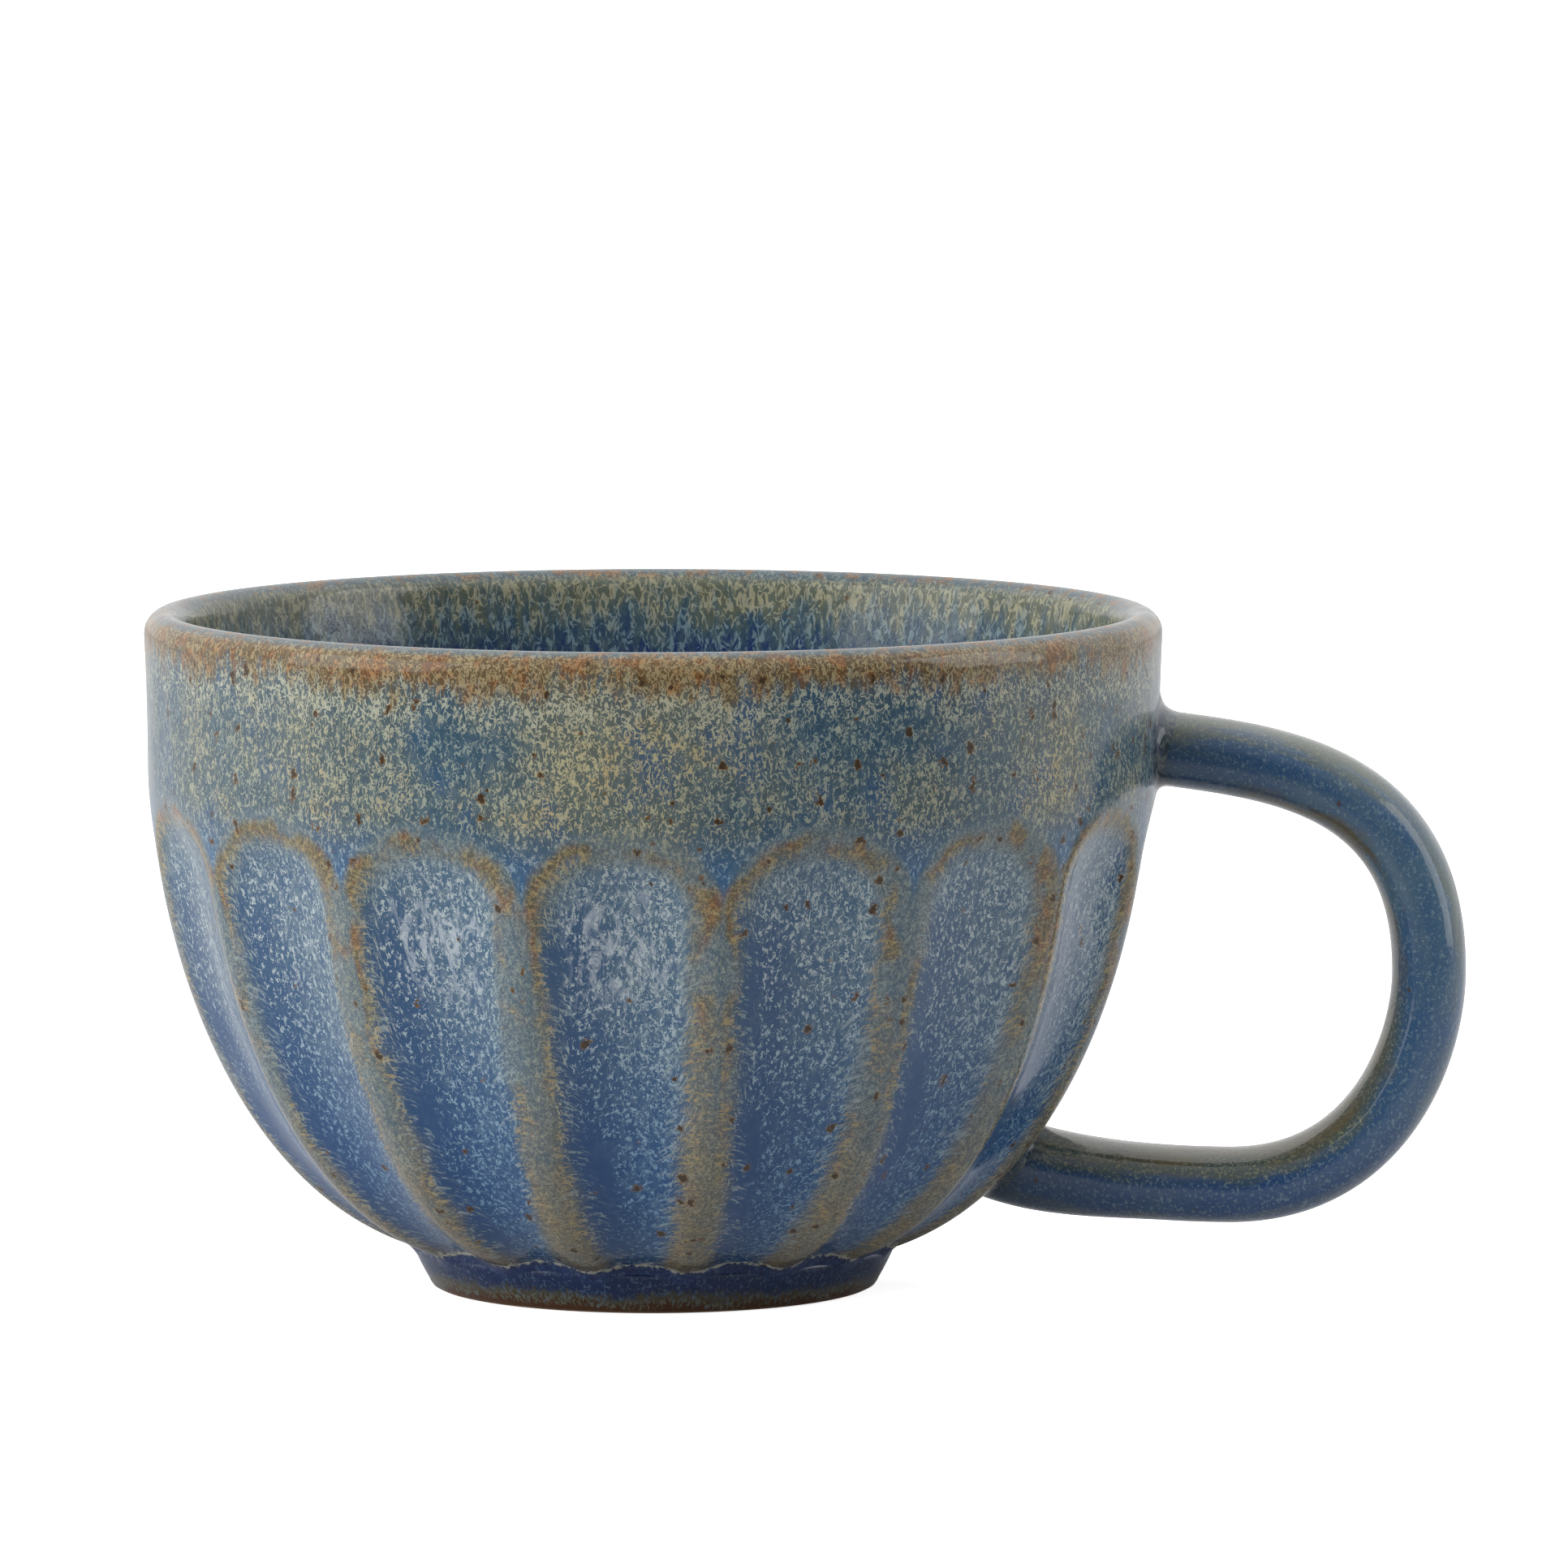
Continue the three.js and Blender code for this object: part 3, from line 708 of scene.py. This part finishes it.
COBALT, STREAK_BROWN, STREAK_GREY = tone(10, 32, 70), tone(60, 54, 36), tone(92, 92, 76)
COBALT_CRYSTAL, BURNT_BROWN = tone(78, 100, 118), tone(62, 32, 2)
CLAY_DARK, CLAY_LIGHT, CLAY_IRON = tone(112, 84, 58), tone(140, 110, 80), tone(70, 44, 28)
foot_glaze, r, shader = glaze_shader("foot_glaze_over_bare_clay")
place = r.millimetres()
height = r.axis(place, "Z")
streak = r.noise(r.stretch(place, (1, 1, 0.07)), 0.30, 2.0, 0.6)
patch = r.noise(place, 7.0, 2.0, 0.5)
level = r.plus(height, r.times(r.sway(streak, 1.0), 0.7))
level = r.plus(level, r.times(r.share(patch, 0.35, 0.65, -1.0, 1.0), 0.4))
colour = r.blend(r.share(level, 1.5, 2.6), STREAK_BROWN, COBALT)
colour = r.blend(r.times(r.bump_at(level, 1.7, 1.2), r.share(streak, 0.48, 0.60), 0.8), colour,
                 STREAK_GREY)
fleck = r.effect(threads, Vector=place, Width=0.40, Length=1.6, Cover=0.07)["Mask"]
colour = r.blend(r.times(fleck, 0.6), colour, COBALT_CRYSTAL)
colour = r.blend(r.share(level, 1.25, 0.55), colour, BURNT_BROWN)
iron = r.effect(specks, Vector=place, Spacing=2.2, Size=0.4, Share=0.5)["Mask"]
grit = r.noise(place, 0.35, 3.0, 0.7)
clay = r.blend(r.share(grit, 0.35, 0.65), CLAY_DARK, CLAY_LIGHT)
clay = r.blend(r.times(iron, 0.7), clay, CLAY_IRON)
bare = r.share(height, 0.40, 0.22)
colour = r.blend(bare, colour, clay)
skin = r.effect(surface, Vector=place, Crystals=0.0, Gloss=0.16)
r.put(shader["Base Color"], colour)
r.put(shader["Roughness"], r.plus(skin["Roughness"], r.times(bare, 0.6)))
grain_height = r.plus(skin["Height"], r.times(bare, grit, 0.12))
bump = r.add("ShaderNodeBump", {"Height": grain_height, "Strength": 1.0, "Distance": 0.001})
r.put(shader["Normal"], bump.outputs[0])

foot.data.materials.append(foot_glaze)
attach(foot, "root")
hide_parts("foot_ring")

# Pooled glaze at the foot ----------------------------------------------------
# The seam of slip between bowl and foot, filled to a smooth cove by glaze that ran down the
# flutes and set there as cobalt glass, with a ragged pale rim of crystals where it stopped.

COVE_UP_WALL = 2
COVE_DOWN_FOOT = 2.8
COVE_FULLNESS = 0.35
COVE_STEPS = 9
COVE_CORNER_REACH = 27.1
SUNK = 0.03

cove_start = np.stack([outer_reach[COVE_UP_WALL], outer_height[COVE_UP_WALL]], axis=-1)
cove_corner = np.stack([np.minimum(corner_reach, COVE_CORNER_REACH), corner_height - 0.1], axis=-1)
cove_end_reach = np.interp(COVE_DOWN_FOOT, outline[:, 1], outline[:, 0])
cove_end = np.broadcast_to(np.array([cove_end_reach, COVE_DOWN_FOOT]), cove_start.shape)
cove_middle = cove_corner + COVE_FULLNESS * ((cove_start + cove_end) / 2 - cove_corner)
inward = np.array([-SUNK, SUNK])


def arc(share, start, middle, end):
    """Point a share of the way along the curve from start to end that is drawn to the middle."""
    return (1 - share) ** 2 * start + 2 * share * (1 - share) * middle + share**2 * end


# Its two edges sink into the wall and the foot, and its back closes inside them.
cove_rows = [arc(share, cove_start, cove_middle, cove_end) + inward * abs(2 * share - 1) ** 6
             for share in np.linspace(0, 1, COVE_STEPS)]
cove_rows.append(cove_end + np.array([-0.6, 0.2]))
cove_rows.append(cove_corner + np.array([-0.8, 0.5]))
cove_rows.append(cove_start + np.array([-0.5, 0.5]))
cove = np.stack(cove_rows)
seam = closed_band("foot_seam_pooled_glaze", turned(cove[..., 0], cove[..., 1]),
                   {"from_wall": cove[..., 1] - cove_start[None, :, 1]})

POOLED_DARK, POOLED_COBALT = tone(10, 32, 74), tone(18, 44, 88)
POOLED_CRYSTAL, FRINGE_GREY = tone(74, 98, 126), tone(150, 150, 138)
pooled_glaze, r, shader = glaze_shader("pooled_cobalt_glaze")
place = r.millimetres()
drop = r.mark("from_wall")
streak = r.noise(r.stretch(place, (1, 1, 0.5)), 0.8, 3.0, 0.6, 0.3)
colour = r.blend(r.share(streak, 0.4, 0.6), POOLED_DARK, POOLED_COBALT)
fringe = r.share(r.plus(drop, r.times(r.sway(streak, 1.0), 0.25)), -0.25, 0.0)
fleck = r.effect(threads, Vector=place, Width=0.40, Length=1.6, Cover=0.06)["Mask"]
colour = r.blend(r.times(fleck, 0.6), colour, POOLED_CRYSTAL)
colour = r.blend(fringe, colour, FRINGE_GREY)
finish_glaze(r, shader, colour, place, fringe, 0.16)

seam.data.materials.append(pooled_glaze)
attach(seam, "root")
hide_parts("foot_slip_seam")

# Handle ----------------------------------------------------------------------
# A strap of clay pulled by hand to an oval section, bent to a loop and luted to the bowl. It
# thickens where it was pressed on low down. Glaze is thin on its corners and breaks olive there.

handle_low, handle_high = (Vector(corner) * 1000 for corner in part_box("handle"))
STRAP_THICKNESS = 8.4
STRAP_HALF_WIDTH = (handle_high.y - handle_low.y) / 2
STRAP_OVAL = 2.3
STRAP_SIDES = 72
STRAP_STEPS = 260
STRAP_TOP_HEIGHT = HEIGHT - 14.1
STRAP_LOW_HEIGHT = 11.7
STRAP_FOOT_RISE = 5.4
STRAP_END_DEPTH = 7.2
PRESSED_THICKER = 1.3
PRESSED_FROM, PRESSED_TO = 0.80, 0.97
INTO_WALL = 1.6
# Where the loop is outermost and lowest, and how far its curve is pulled past each of its turns,
# as shares of its drop, of its span, or of the rise and the run of its lower end.
OUTERMOST, LOWEST = 0.48, 0.735
TOP_PULL_OUT, TOP_PULL_DOWN = 0.36, 0.065
OUTER_PULL_UP, OUTER_PULL_DOWN = 0.01, 0.17
LOW_PULL_OUT, LOW_PULL_IN = 0.56, 0.3
END_PULL_OUT, END_PULL_UP = 0.28, 0.17

strap_outside = handle_high.x - AXIS_X - STRAP_THICKNESS / 2
strap_drop = STRAP_TOP_HEIGHT - STRAP_LOW_HEIGHT
strap_span = strap_outside - shoulder_radius
low_reach = float(np.interp(STRAP_LOW_HEIGHT, wall_height, wall_reach))
strap_top = np.array([shoulder_radius - STRAP_END_DEPTH, STRAP_TOP_HEIGHT])
strap_outermost = np.array([strap_outside, STRAP_LOW_HEIGHT + OUTERMOST * strap_drop])
strap_lowest = np.array([strap_outside - LOWEST * strap_span, STRAP_LOW_HEIGHT])
strap_end = np.array([low_reach - STRAP_END_DEPTH / 2, STRAP_LOW_HEIGHT + STRAP_FOOT_RISE])
strap_bends = (
    (strap_top,
     (strap_top[0] + TOP_PULL_OUT * strap_span, STRAP_TOP_HEIGHT - TOP_PULL_DOWN * strap_drop),
     (strap_outside, STRAP_TOP_HEIGHT + OUTER_PULL_UP * strap_drop), strap_outermost),
    (strap_outermost, (strap_outside, strap_outermost[1] - OUTER_PULL_DOWN * strap_drop),
     (strap_lowest[0] + LOW_PULL_OUT * strap_span, STRAP_LOW_HEIGHT), strap_lowest),
    (strap_lowest, (strap_lowest[0] - LOW_PULL_IN * strap_span, STRAP_LOW_HEIGHT),
     (strap_end[0] + END_PULL_OUT * (strap_lowest[0] - strap_end[0]),
      STRAP_LOW_HEIGHT + END_PULL_UP * STRAP_FOOT_RISE), strap_end),
)
t = np.linspace(0, 1, 300)[:, None]
line = np.concatenate([
    (1 - t) ** 3 * a + 3 * t * (1 - t) ** 2 * np.array(b) + 3 * t**2 * (1 - t) * np.array(c)
    + t**3 * d for a, b, c, d in strap_bends
])
line_x, line_z = even_steps(line[:, 0], line[:, 1], 700)
run = np.stack([np.gradient(line_x), np.gradient(line_z)], axis=-1)
run /= np.linalg.norm(run, axis=-1, keepdims=True)
outward = np.stack([-run[:, 1], run[:, 0]], axis=-1)

angle = np.linspace(0, 2 * math.pi, STRAP_SIDES, endpoint=False)
oval = 2 / STRAP_OVAL
section_y = STRAP_HALF_WIDTH * np.sign(np.cos(angle)) * np.abs(np.cos(angle)) ** oval
section_out = STRAP_THICKNESS / 2 * np.sign(np.sin(angle)) * np.abs(np.sin(angle)) ** oval
length_share = np.linspace(0, 1, len(line_x))


def smooth_share(value, low, high):
    """0 below low, 1 above high, and a smooth curve between them."""
    share = np.clip((value - low) / (high - low), 0, 1)
    return share * share * (3 - 2 * share)


pressed = smooth_share(length_share, PRESSED_FROM, PRESSED_TO)[:, None] * (section_out > 0)
grown = section_out[None, :] * (1 + PRESSED_THICKER / (STRAP_THICKNESS / 2) * pressed)
strap_lines = np.stack([
    line_x[:, None] + outward[:, 0, None] * grown,
    np.broadcast_to(section_y, grown.shape),
    line_z[:, None] + outward[:, 1, None] * grown,
], axis=-1)


def above_wall(points):
    """Millimetres of each point outside the fluted wall, negative in the clay."""
    reach, height = np.hypot(points[..., 0], points[..., 1]), points[..., 2]
    theta = np.arctan2(points[..., 1], points[..., 0])
    nearest = np.argmin(
        (reach[..., None] - wall_reach) ** 2 + (height[..., None] - wall_height) ** 2, axis=-1
    )
    off_wall = (
        (reach - wall_reach[nearest]) * wall_normal[0][nearest]
        + (height - wall_height[nearest]) * wall_normal[1][nearest]
    )
    return off_wall + flute_depth(theta, wall_reach[nearest], wall_height[nearest])


def crossing(depths, wanted, from_start):
    """Where each line of the strap comes to a wanted distance from the bowl's wall, as a share."""
    count, sides = depths.shape
    found = np.zeros(sides)
    middle = count // 2
    for side in range(sides):
        column = depths[:, side]
        inside = np.nonzero(column[:middle] < wanted)[0] if from_start else (
            middle + np.nonzero(column[middle:] < wanted)[0])
        if len(inside) == 0:
            found[side] = 0 if from_start else count - 1
            continue
        step = inside[-1] if from_start else inside[0] - 1
        low, high = column[step], column[step + 1]
        found[side] = step + (wanted - low) / (high - low)
    return found / (count - 1)


def along_strap(share):
    """Points of the strap's lines at the given shares of their length, one row per share."""
    place = np.clip(share, 0, 1) * (len(line_x) - 1)
    step = np.minimum(place.astype(int), len(line_x) - 2)
    part = (place - step)[..., None]
    sides = np.arange(STRAP_SIDES)
    return strap_lines[step, sides] * (1 - part) + strap_lines[step + 1, sides] * part


strap_depths = above_wall(strap_lines)
upper_end = crossing(strap_depths, -INTO_WALL, True)
lower_end = crossing(strap_depths, -INTO_WALL, False)
strap_shares = upper_end + (lower_end - upper_end) * np.linspace(0, 1, STRAP_STEPS)[:, None]
strap_rings = along_strap(strap_shares)
strap_run = math.hypot(line_x[1] - line_x[0], line_z[1] - line_z[0]) * len(line_x)
strap_tilt = np.interp(strap_shares, length_share, outward[:, 1])
strap_marks = {
    "strap_face": section_out / (STRAP_THICKNESS / 2),
    "across_strap": section_y,
    "along_strap": strap_shares * strap_run,
    "facing_up": (0.75 * strap_tilt - 0.25) * section_out / (STRAP_THICKNESS / 2),
    "from_joint": np.minimum(strap_shares - upper_end, lower_end - strap_shares) * strap_run,
}
handle = glazed_skin("pulled_handle", strap_rings, strap_marks)

DRAWN_OUT = 0.14
STRAP_BLUE, STRAP_GREY_BLUE, STRAP_PALE = tone(52, 82, 116), tone(70, 97, 118), tone(82, 104, 118)
LOW_STRAP_BLUE, THIN_OLIVE = tone(34, 60, 104), tone(70, 82, 72)
STRAP_CRYSTAL, OLIVE_CRYSTAL = tone(110, 132, 144), tone(142, 138, 108)
INNER_EDGE_TAN, OUTER_EDGE_OLIVE = tone(94, 84, 58), tone(94, 100, 88)
STRAP_IRON, JOINT_PAINTED_SHADE = tone(72, 48, 30), tone(44, 56, 66)
handle_glaze, r, shader = glaze_shader("handle_blue_glaze")
place = r.millimetres()
face = r.mark("strap_face")
from_joint = r.mark("from_joint")
drawn = r.add("ShaderNodeCombineXYZ", {
    "X": r.mark("across_strap"), "Y": r.times(face, STRAP_THICKNESS / 2),
    "Z": r.times(r.mark("along_strap"), DRAWN_OUT),
}).outputs[0]
cloud = r.noise(place, 13.0, 3.0, 0.55)
drift = r.noise(r.stretch(place, (1, 1, 1), (9, 30, 4)), 6.0, 2.0, 0.5)
pulled = r.noise(drawn, 1.6, 3.0, 0.6)
wander = r.plus(face, r.sway(drift, 0.15))
wander = r.plus(wander, r.sway(pulled, 0.20))
facing_up = r.plus(r.mark("facing_up"), r.sway(pulled, 0.12))
thin = r.share(r.plus(facing_up, r.sway(drift, 0.06)), 0.12, 0.50)
under = r.blend(r.share(cloud, 0.38, 0.62), STRAP_BLUE, STRAP_GREY_BLUE)
under = r.blend(r.share(pulled, 0.42, 0.62, 0.0, 0.4), under, STRAP_PALE)
low_down = r.share(r.axis(place, "Z"), 24.0, 12.0)
under = r.blend(r.times(low_down, 0.6), under, LOW_STRAP_BLUE)
under = r.blend(r.times(thin, 0.85), under, THIN_OLIVE)
cover = r.plus(0.10, r.times(thin, 0.16))
fleck = r.effect(threads, Vector=place, Width=0.42, Length=1.2, Cover=cover)["Mask"]
colour = r.blend(r.times(fleck, 0.65), under, r.blend(thin, STRAP_CRYSTAL, OLIVE_CRYSTAL))
inner_break = r.times(r.bump_at(wander, -0.95, 0.5), r.share(cloud, 0.36, 0.56, 0.5, 1.0))
outer_break = r.times(r.bump_at(wander, 0.95, 0.5), r.share(cloud, 0.40, 0.60, 0.4, 1.0))
colour = r.blend(r.times(inner_break, 0.9), colour, INNER_EDGE_TAN)
colour = r.blend(r.times(outer_break, 0.7), colour, OUTER_EDGE_OLIVE)
iron = r.effect(specks, Vector=place, Spacing=2.6, Size=0.45, Share=0.2)["Mask"]
colour = r.blend(r.times(iron, 0.8), colour, STRAP_IRON)
# Painted shade: the strap darkens over its last few millimetres towards each joint with the bowl.
colour = r.blend(r.share(from_joint, 5.0, 1.5, 0.0, 0.6), colour, JOINT_PAINTED_SHADE)
finish_glaze(r, shader, colour, place, fleck, 0.08)

handle.data.materials.append(handle_glaze)
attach(handle, "root")
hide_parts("handle")

# Slip joints -----------------------------------------------------------------
# Slip squeezed out where each end of the strap was pressed on, wiped round with a wet brush to a
# small fillet. The glaze lies thickest in it and sets almost black-blue.

FILLET_STEPS = 10
FILLET_SUNK = 0.06
FILLET_ROOT, FILLET_BACK = 0.9, 0.7
SETTLINGS, SMALL_STEP = 6, 0.02


def fillet(name, ends, up_strap, out_bowl, toward_start):
    """Ring-shaped fillet from the strap onto the bowl, with its hidden side inside both.

    The edge on the bowl starts off the curved wall and is settled onto it in a few steps.
    """
    away = 1 if toward_start else -1
    hit = along_strap(ends[None, :])[0]
    on_strap = along_strap((ends + away * up_strap * (1 / strap_run))[None, :])[0]
    centre = hit.mean(axis=0)
    free = on_strap - hit
    free /= np.linalg.norm(free, axis=-1, keepdims=True)
    spread = hit - centre
    spread -= free * np.einsum("ij,ij->i", spread, free)[:, None]
    spread /= np.linalg.norm(spread, axis=-1, keepdims=True)
    on_bowl = hit + spread * out_bowl[:, None]
    for _ in range(SETTLINGS):
        depth = above_wall(on_bowl)
        slope = np.stack([
            (above_wall(on_bowl + np.eye(3)[axis] * SMALL_STEP) - depth) / SMALL_STEP
            for axis in range(3)
        ], axis=-1)
        on_bowl = on_bowl - slope * (depth / np.maximum((slope**2).sum(-1), 0.3))[:, None]
    normal = slope / np.linalg.norm(slope, axis=-1, keepdims=True)
    rows = []
    for share in np.linspace(0, 1, FILLET_STEPS):
        edge_sink = abs(2 * share - 1) ** 6 * FILLET_SUNK
        rows.append(arc(share, on_strap, hit, on_bowl)
                    - (spread if share < 0.5 else normal) * edge_sink)
    rows.append(on_bowl - normal * FILLET_BACK)
    rows.append(hit - (normal + spread) * FILLET_ROOT)
    rows.append(on_strap - spread * FILLET_BACK)
    return closed_band(name, np.stack(rows))


JOINT_BLUE, JOINT_GREY, JOINT_CRYSTAL = tone(36, 50, 72), tone(58, 70, 78), tone(104, 112, 104)
joint_glaze, r, shader = glaze_shader("joint_pooled_glaze")
place = r.millimetres()
cloud = r.noise(place, 3.0, 3.0, 0.55)
colour = r.blend(r.share(cloud, 0.38, 0.62), JOINT_BLUE, JOINT_GREY)
fleck = r.effect(threads, Vector=place, Width=1.1, Length=1.2, Cover=0.22)["Mask"]
colour = r.blend(r.times(fleck, 0.6), colour, JOINT_CRYSTAL)
finish_glaze(r, shader, colour, place, fleck, 0.12)

top_side = smooth_share(np.sin(angle), -0.6, 0.8)
for name, node, ends, sizes, at_start in (
    ("upper_joint_fillet", "upper_slip_joint", crossing(strap_depths, 0.0, True),
     1.3 + 1.2 * top_side, True),
    ("lower_joint_fillet", "lower_slip_joint", crossing(strap_depths, 0.0, False),
     1.1 + 0.5 * top_side, False),
):
    joint = fillet(name, ends, sizes, sizes, at_start)
    joint.data.materials.append(joint_glaze)
    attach(joint, "root")
    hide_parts(node)

# Floor, light and camera -----------------------------------------------------
# A pale tabletop under soft studio light: a bright tent at the sides, behind and above, darker
# towards the front, with one large soft light from the left and a slimmer one from the right.

FLOOR_HALF = 6.0
floor_mesh = bpy.data.meshes.new("pale_floor")
floor_mesh.from_pydata([(-FLOOR_HALF, -FLOOR_HALF, 0), (FLOOR_HALF, -FLOOR_HALF, 0),
                        (FLOOR_HALF, FLOOR_HALF, 0), (-FLOOR_HALF, FLOOR_HALF, 0)],
                       [], [(0, 1, 2, 3)])
floor = bpy.data.objects.new("pale_floor", floor_mesh)
bpy.context.scene.collection.objects.link(floor)
floor_paint, r, shader = glaze_shader("pale_floor_paint")
seen = r.add("ShaderNodeLightPath").outputs["Is Camera Ray"]
ahead = r.axis(r.millimetres(), "Y")
bounced = r.blend(r.share(ahead, -40.0, -260.0), tone(205, 205, 207), tone(70, 72, 76))
r.put(shader["Base Color"], r.blend(seen, bounced, tone(244, 244, 244)))
r.put(shader["Roughness"], 0.9)
r.put(shader["Emission Color"], (1.0, 1.0, 1.0, 1.0))
r.put(shader["Emission Strength"], r.times(seen, 0.82))
floor_mesh.materials.append(floor_paint)

world = bpy.data.worlds.new("soft_tent")
bpy.context.scene.world = world
world.use_nodes = True
world.node_tree.nodes.clear()
r = Recipe(world.node_tree)
direction = r.add("ShaderNodeTexCoord").outputs["Generated"]
parts = r.add("ShaderNodeSeparateXYZ", {0: direction}).outputs
behind = r.share(parts["Y"], -0.6, 0.4, 0.05, 0.95)
overhead = r.share(parts["Z"], 0.25, 0.8, 0.0, 0.55)
strength = r.plus(behind, overhead)
seen = r.add("ShaderNodeLightPath").outputs["Is Camera Ray"]
strength = r.add("ShaderNodeMix", {0: seen, 2: strength, 3: 1.05}, data_type="FLOAT").outputs[0]
tent = r.add("ShaderNodeBackground", {"Color": (1.0, 1.0, 1.0, 1.0), "Strength": strength})
r.add("ShaderNodeOutputWorld", {"Surface": tent.outputs[0]})


def soft_light(name, place, width, height, power):
    """A rectangular soft light that faces the mug."""
    light = bpy.data.lights.new(name, "AREA")
    light.shape = "RECTANGLE"
    light.size, light.size_y, light.energy = width, height, power
    lamp = bpy.data.objects.new(name, light)
    bpy.context.scene.collection.objects.link(lamp)
    lamp.location = place
    aim = Vector((0, 0, 0.04)) - Vector(place)
    lamp.rotation_euler = aim.to_track_quat("-Z", "Y").to_euler()
    lamp.visible_camera = False
    return lamp


soft_light("left_softbox", (-1.4, -0.6, 0.62), 1.3, 1.25, 10.5)
soft_light("right_softbox", (1.45, -0.1, 0.62), 0.8, 1.25, 7.0)
# The frontal light is polarised away, so that it doesn't whiten the glaze.
frontal = soft_light("polarised_frontal_light", (-1.1, -1.15, 0.65), 1.0, 1.0, 18.5)
frontal.visible_glossy = False

bowl_axis = Vector((AXIS_X / 1000, 0, 0))
CAMERA_AZIMUTH = math.radians(3.5)
CAMERA_DISTANCE = 1.330
CAMERA_HEIGHT = 0.1907
LENS = 271.3
AIM_SIDEWAYS = 0.01475
AIM_HEIGHT = 0.0569
camera_data = bpy.data.cameras.new("camera")
camera_data.lens = LENS
camera_data.sensor_width = 36.0
camera = bpy.data.objects.new("camera", camera_data)
bpy.context.scene.collection.objects.link(camera)
sideways = Vector((math.cos(CAMERA_AZIMUTH), math.sin(CAMERA_AZIMUTH), 0))
backward = Vector((math.sin(CAMERA_AZIMUTH), -math.cos(CAMERA_AZIMUTH), 0))
camera.location = bowl_axis + backward * CAMERA_DISTANCE + Vector((0, 0, CAMERA_HEIGHT))
aim = bowl_axis + sideways * AIM_SIDEWAYS + Vector((0, 0, AIM_HEIGHT)) - camera.location
camera.rotation_euler = aim.to_track_quat("-Z", "Y").to_euler()
bpy.context.scene.camera = camera
bpy.context.scene.view_settings.view_transform = "Standard"
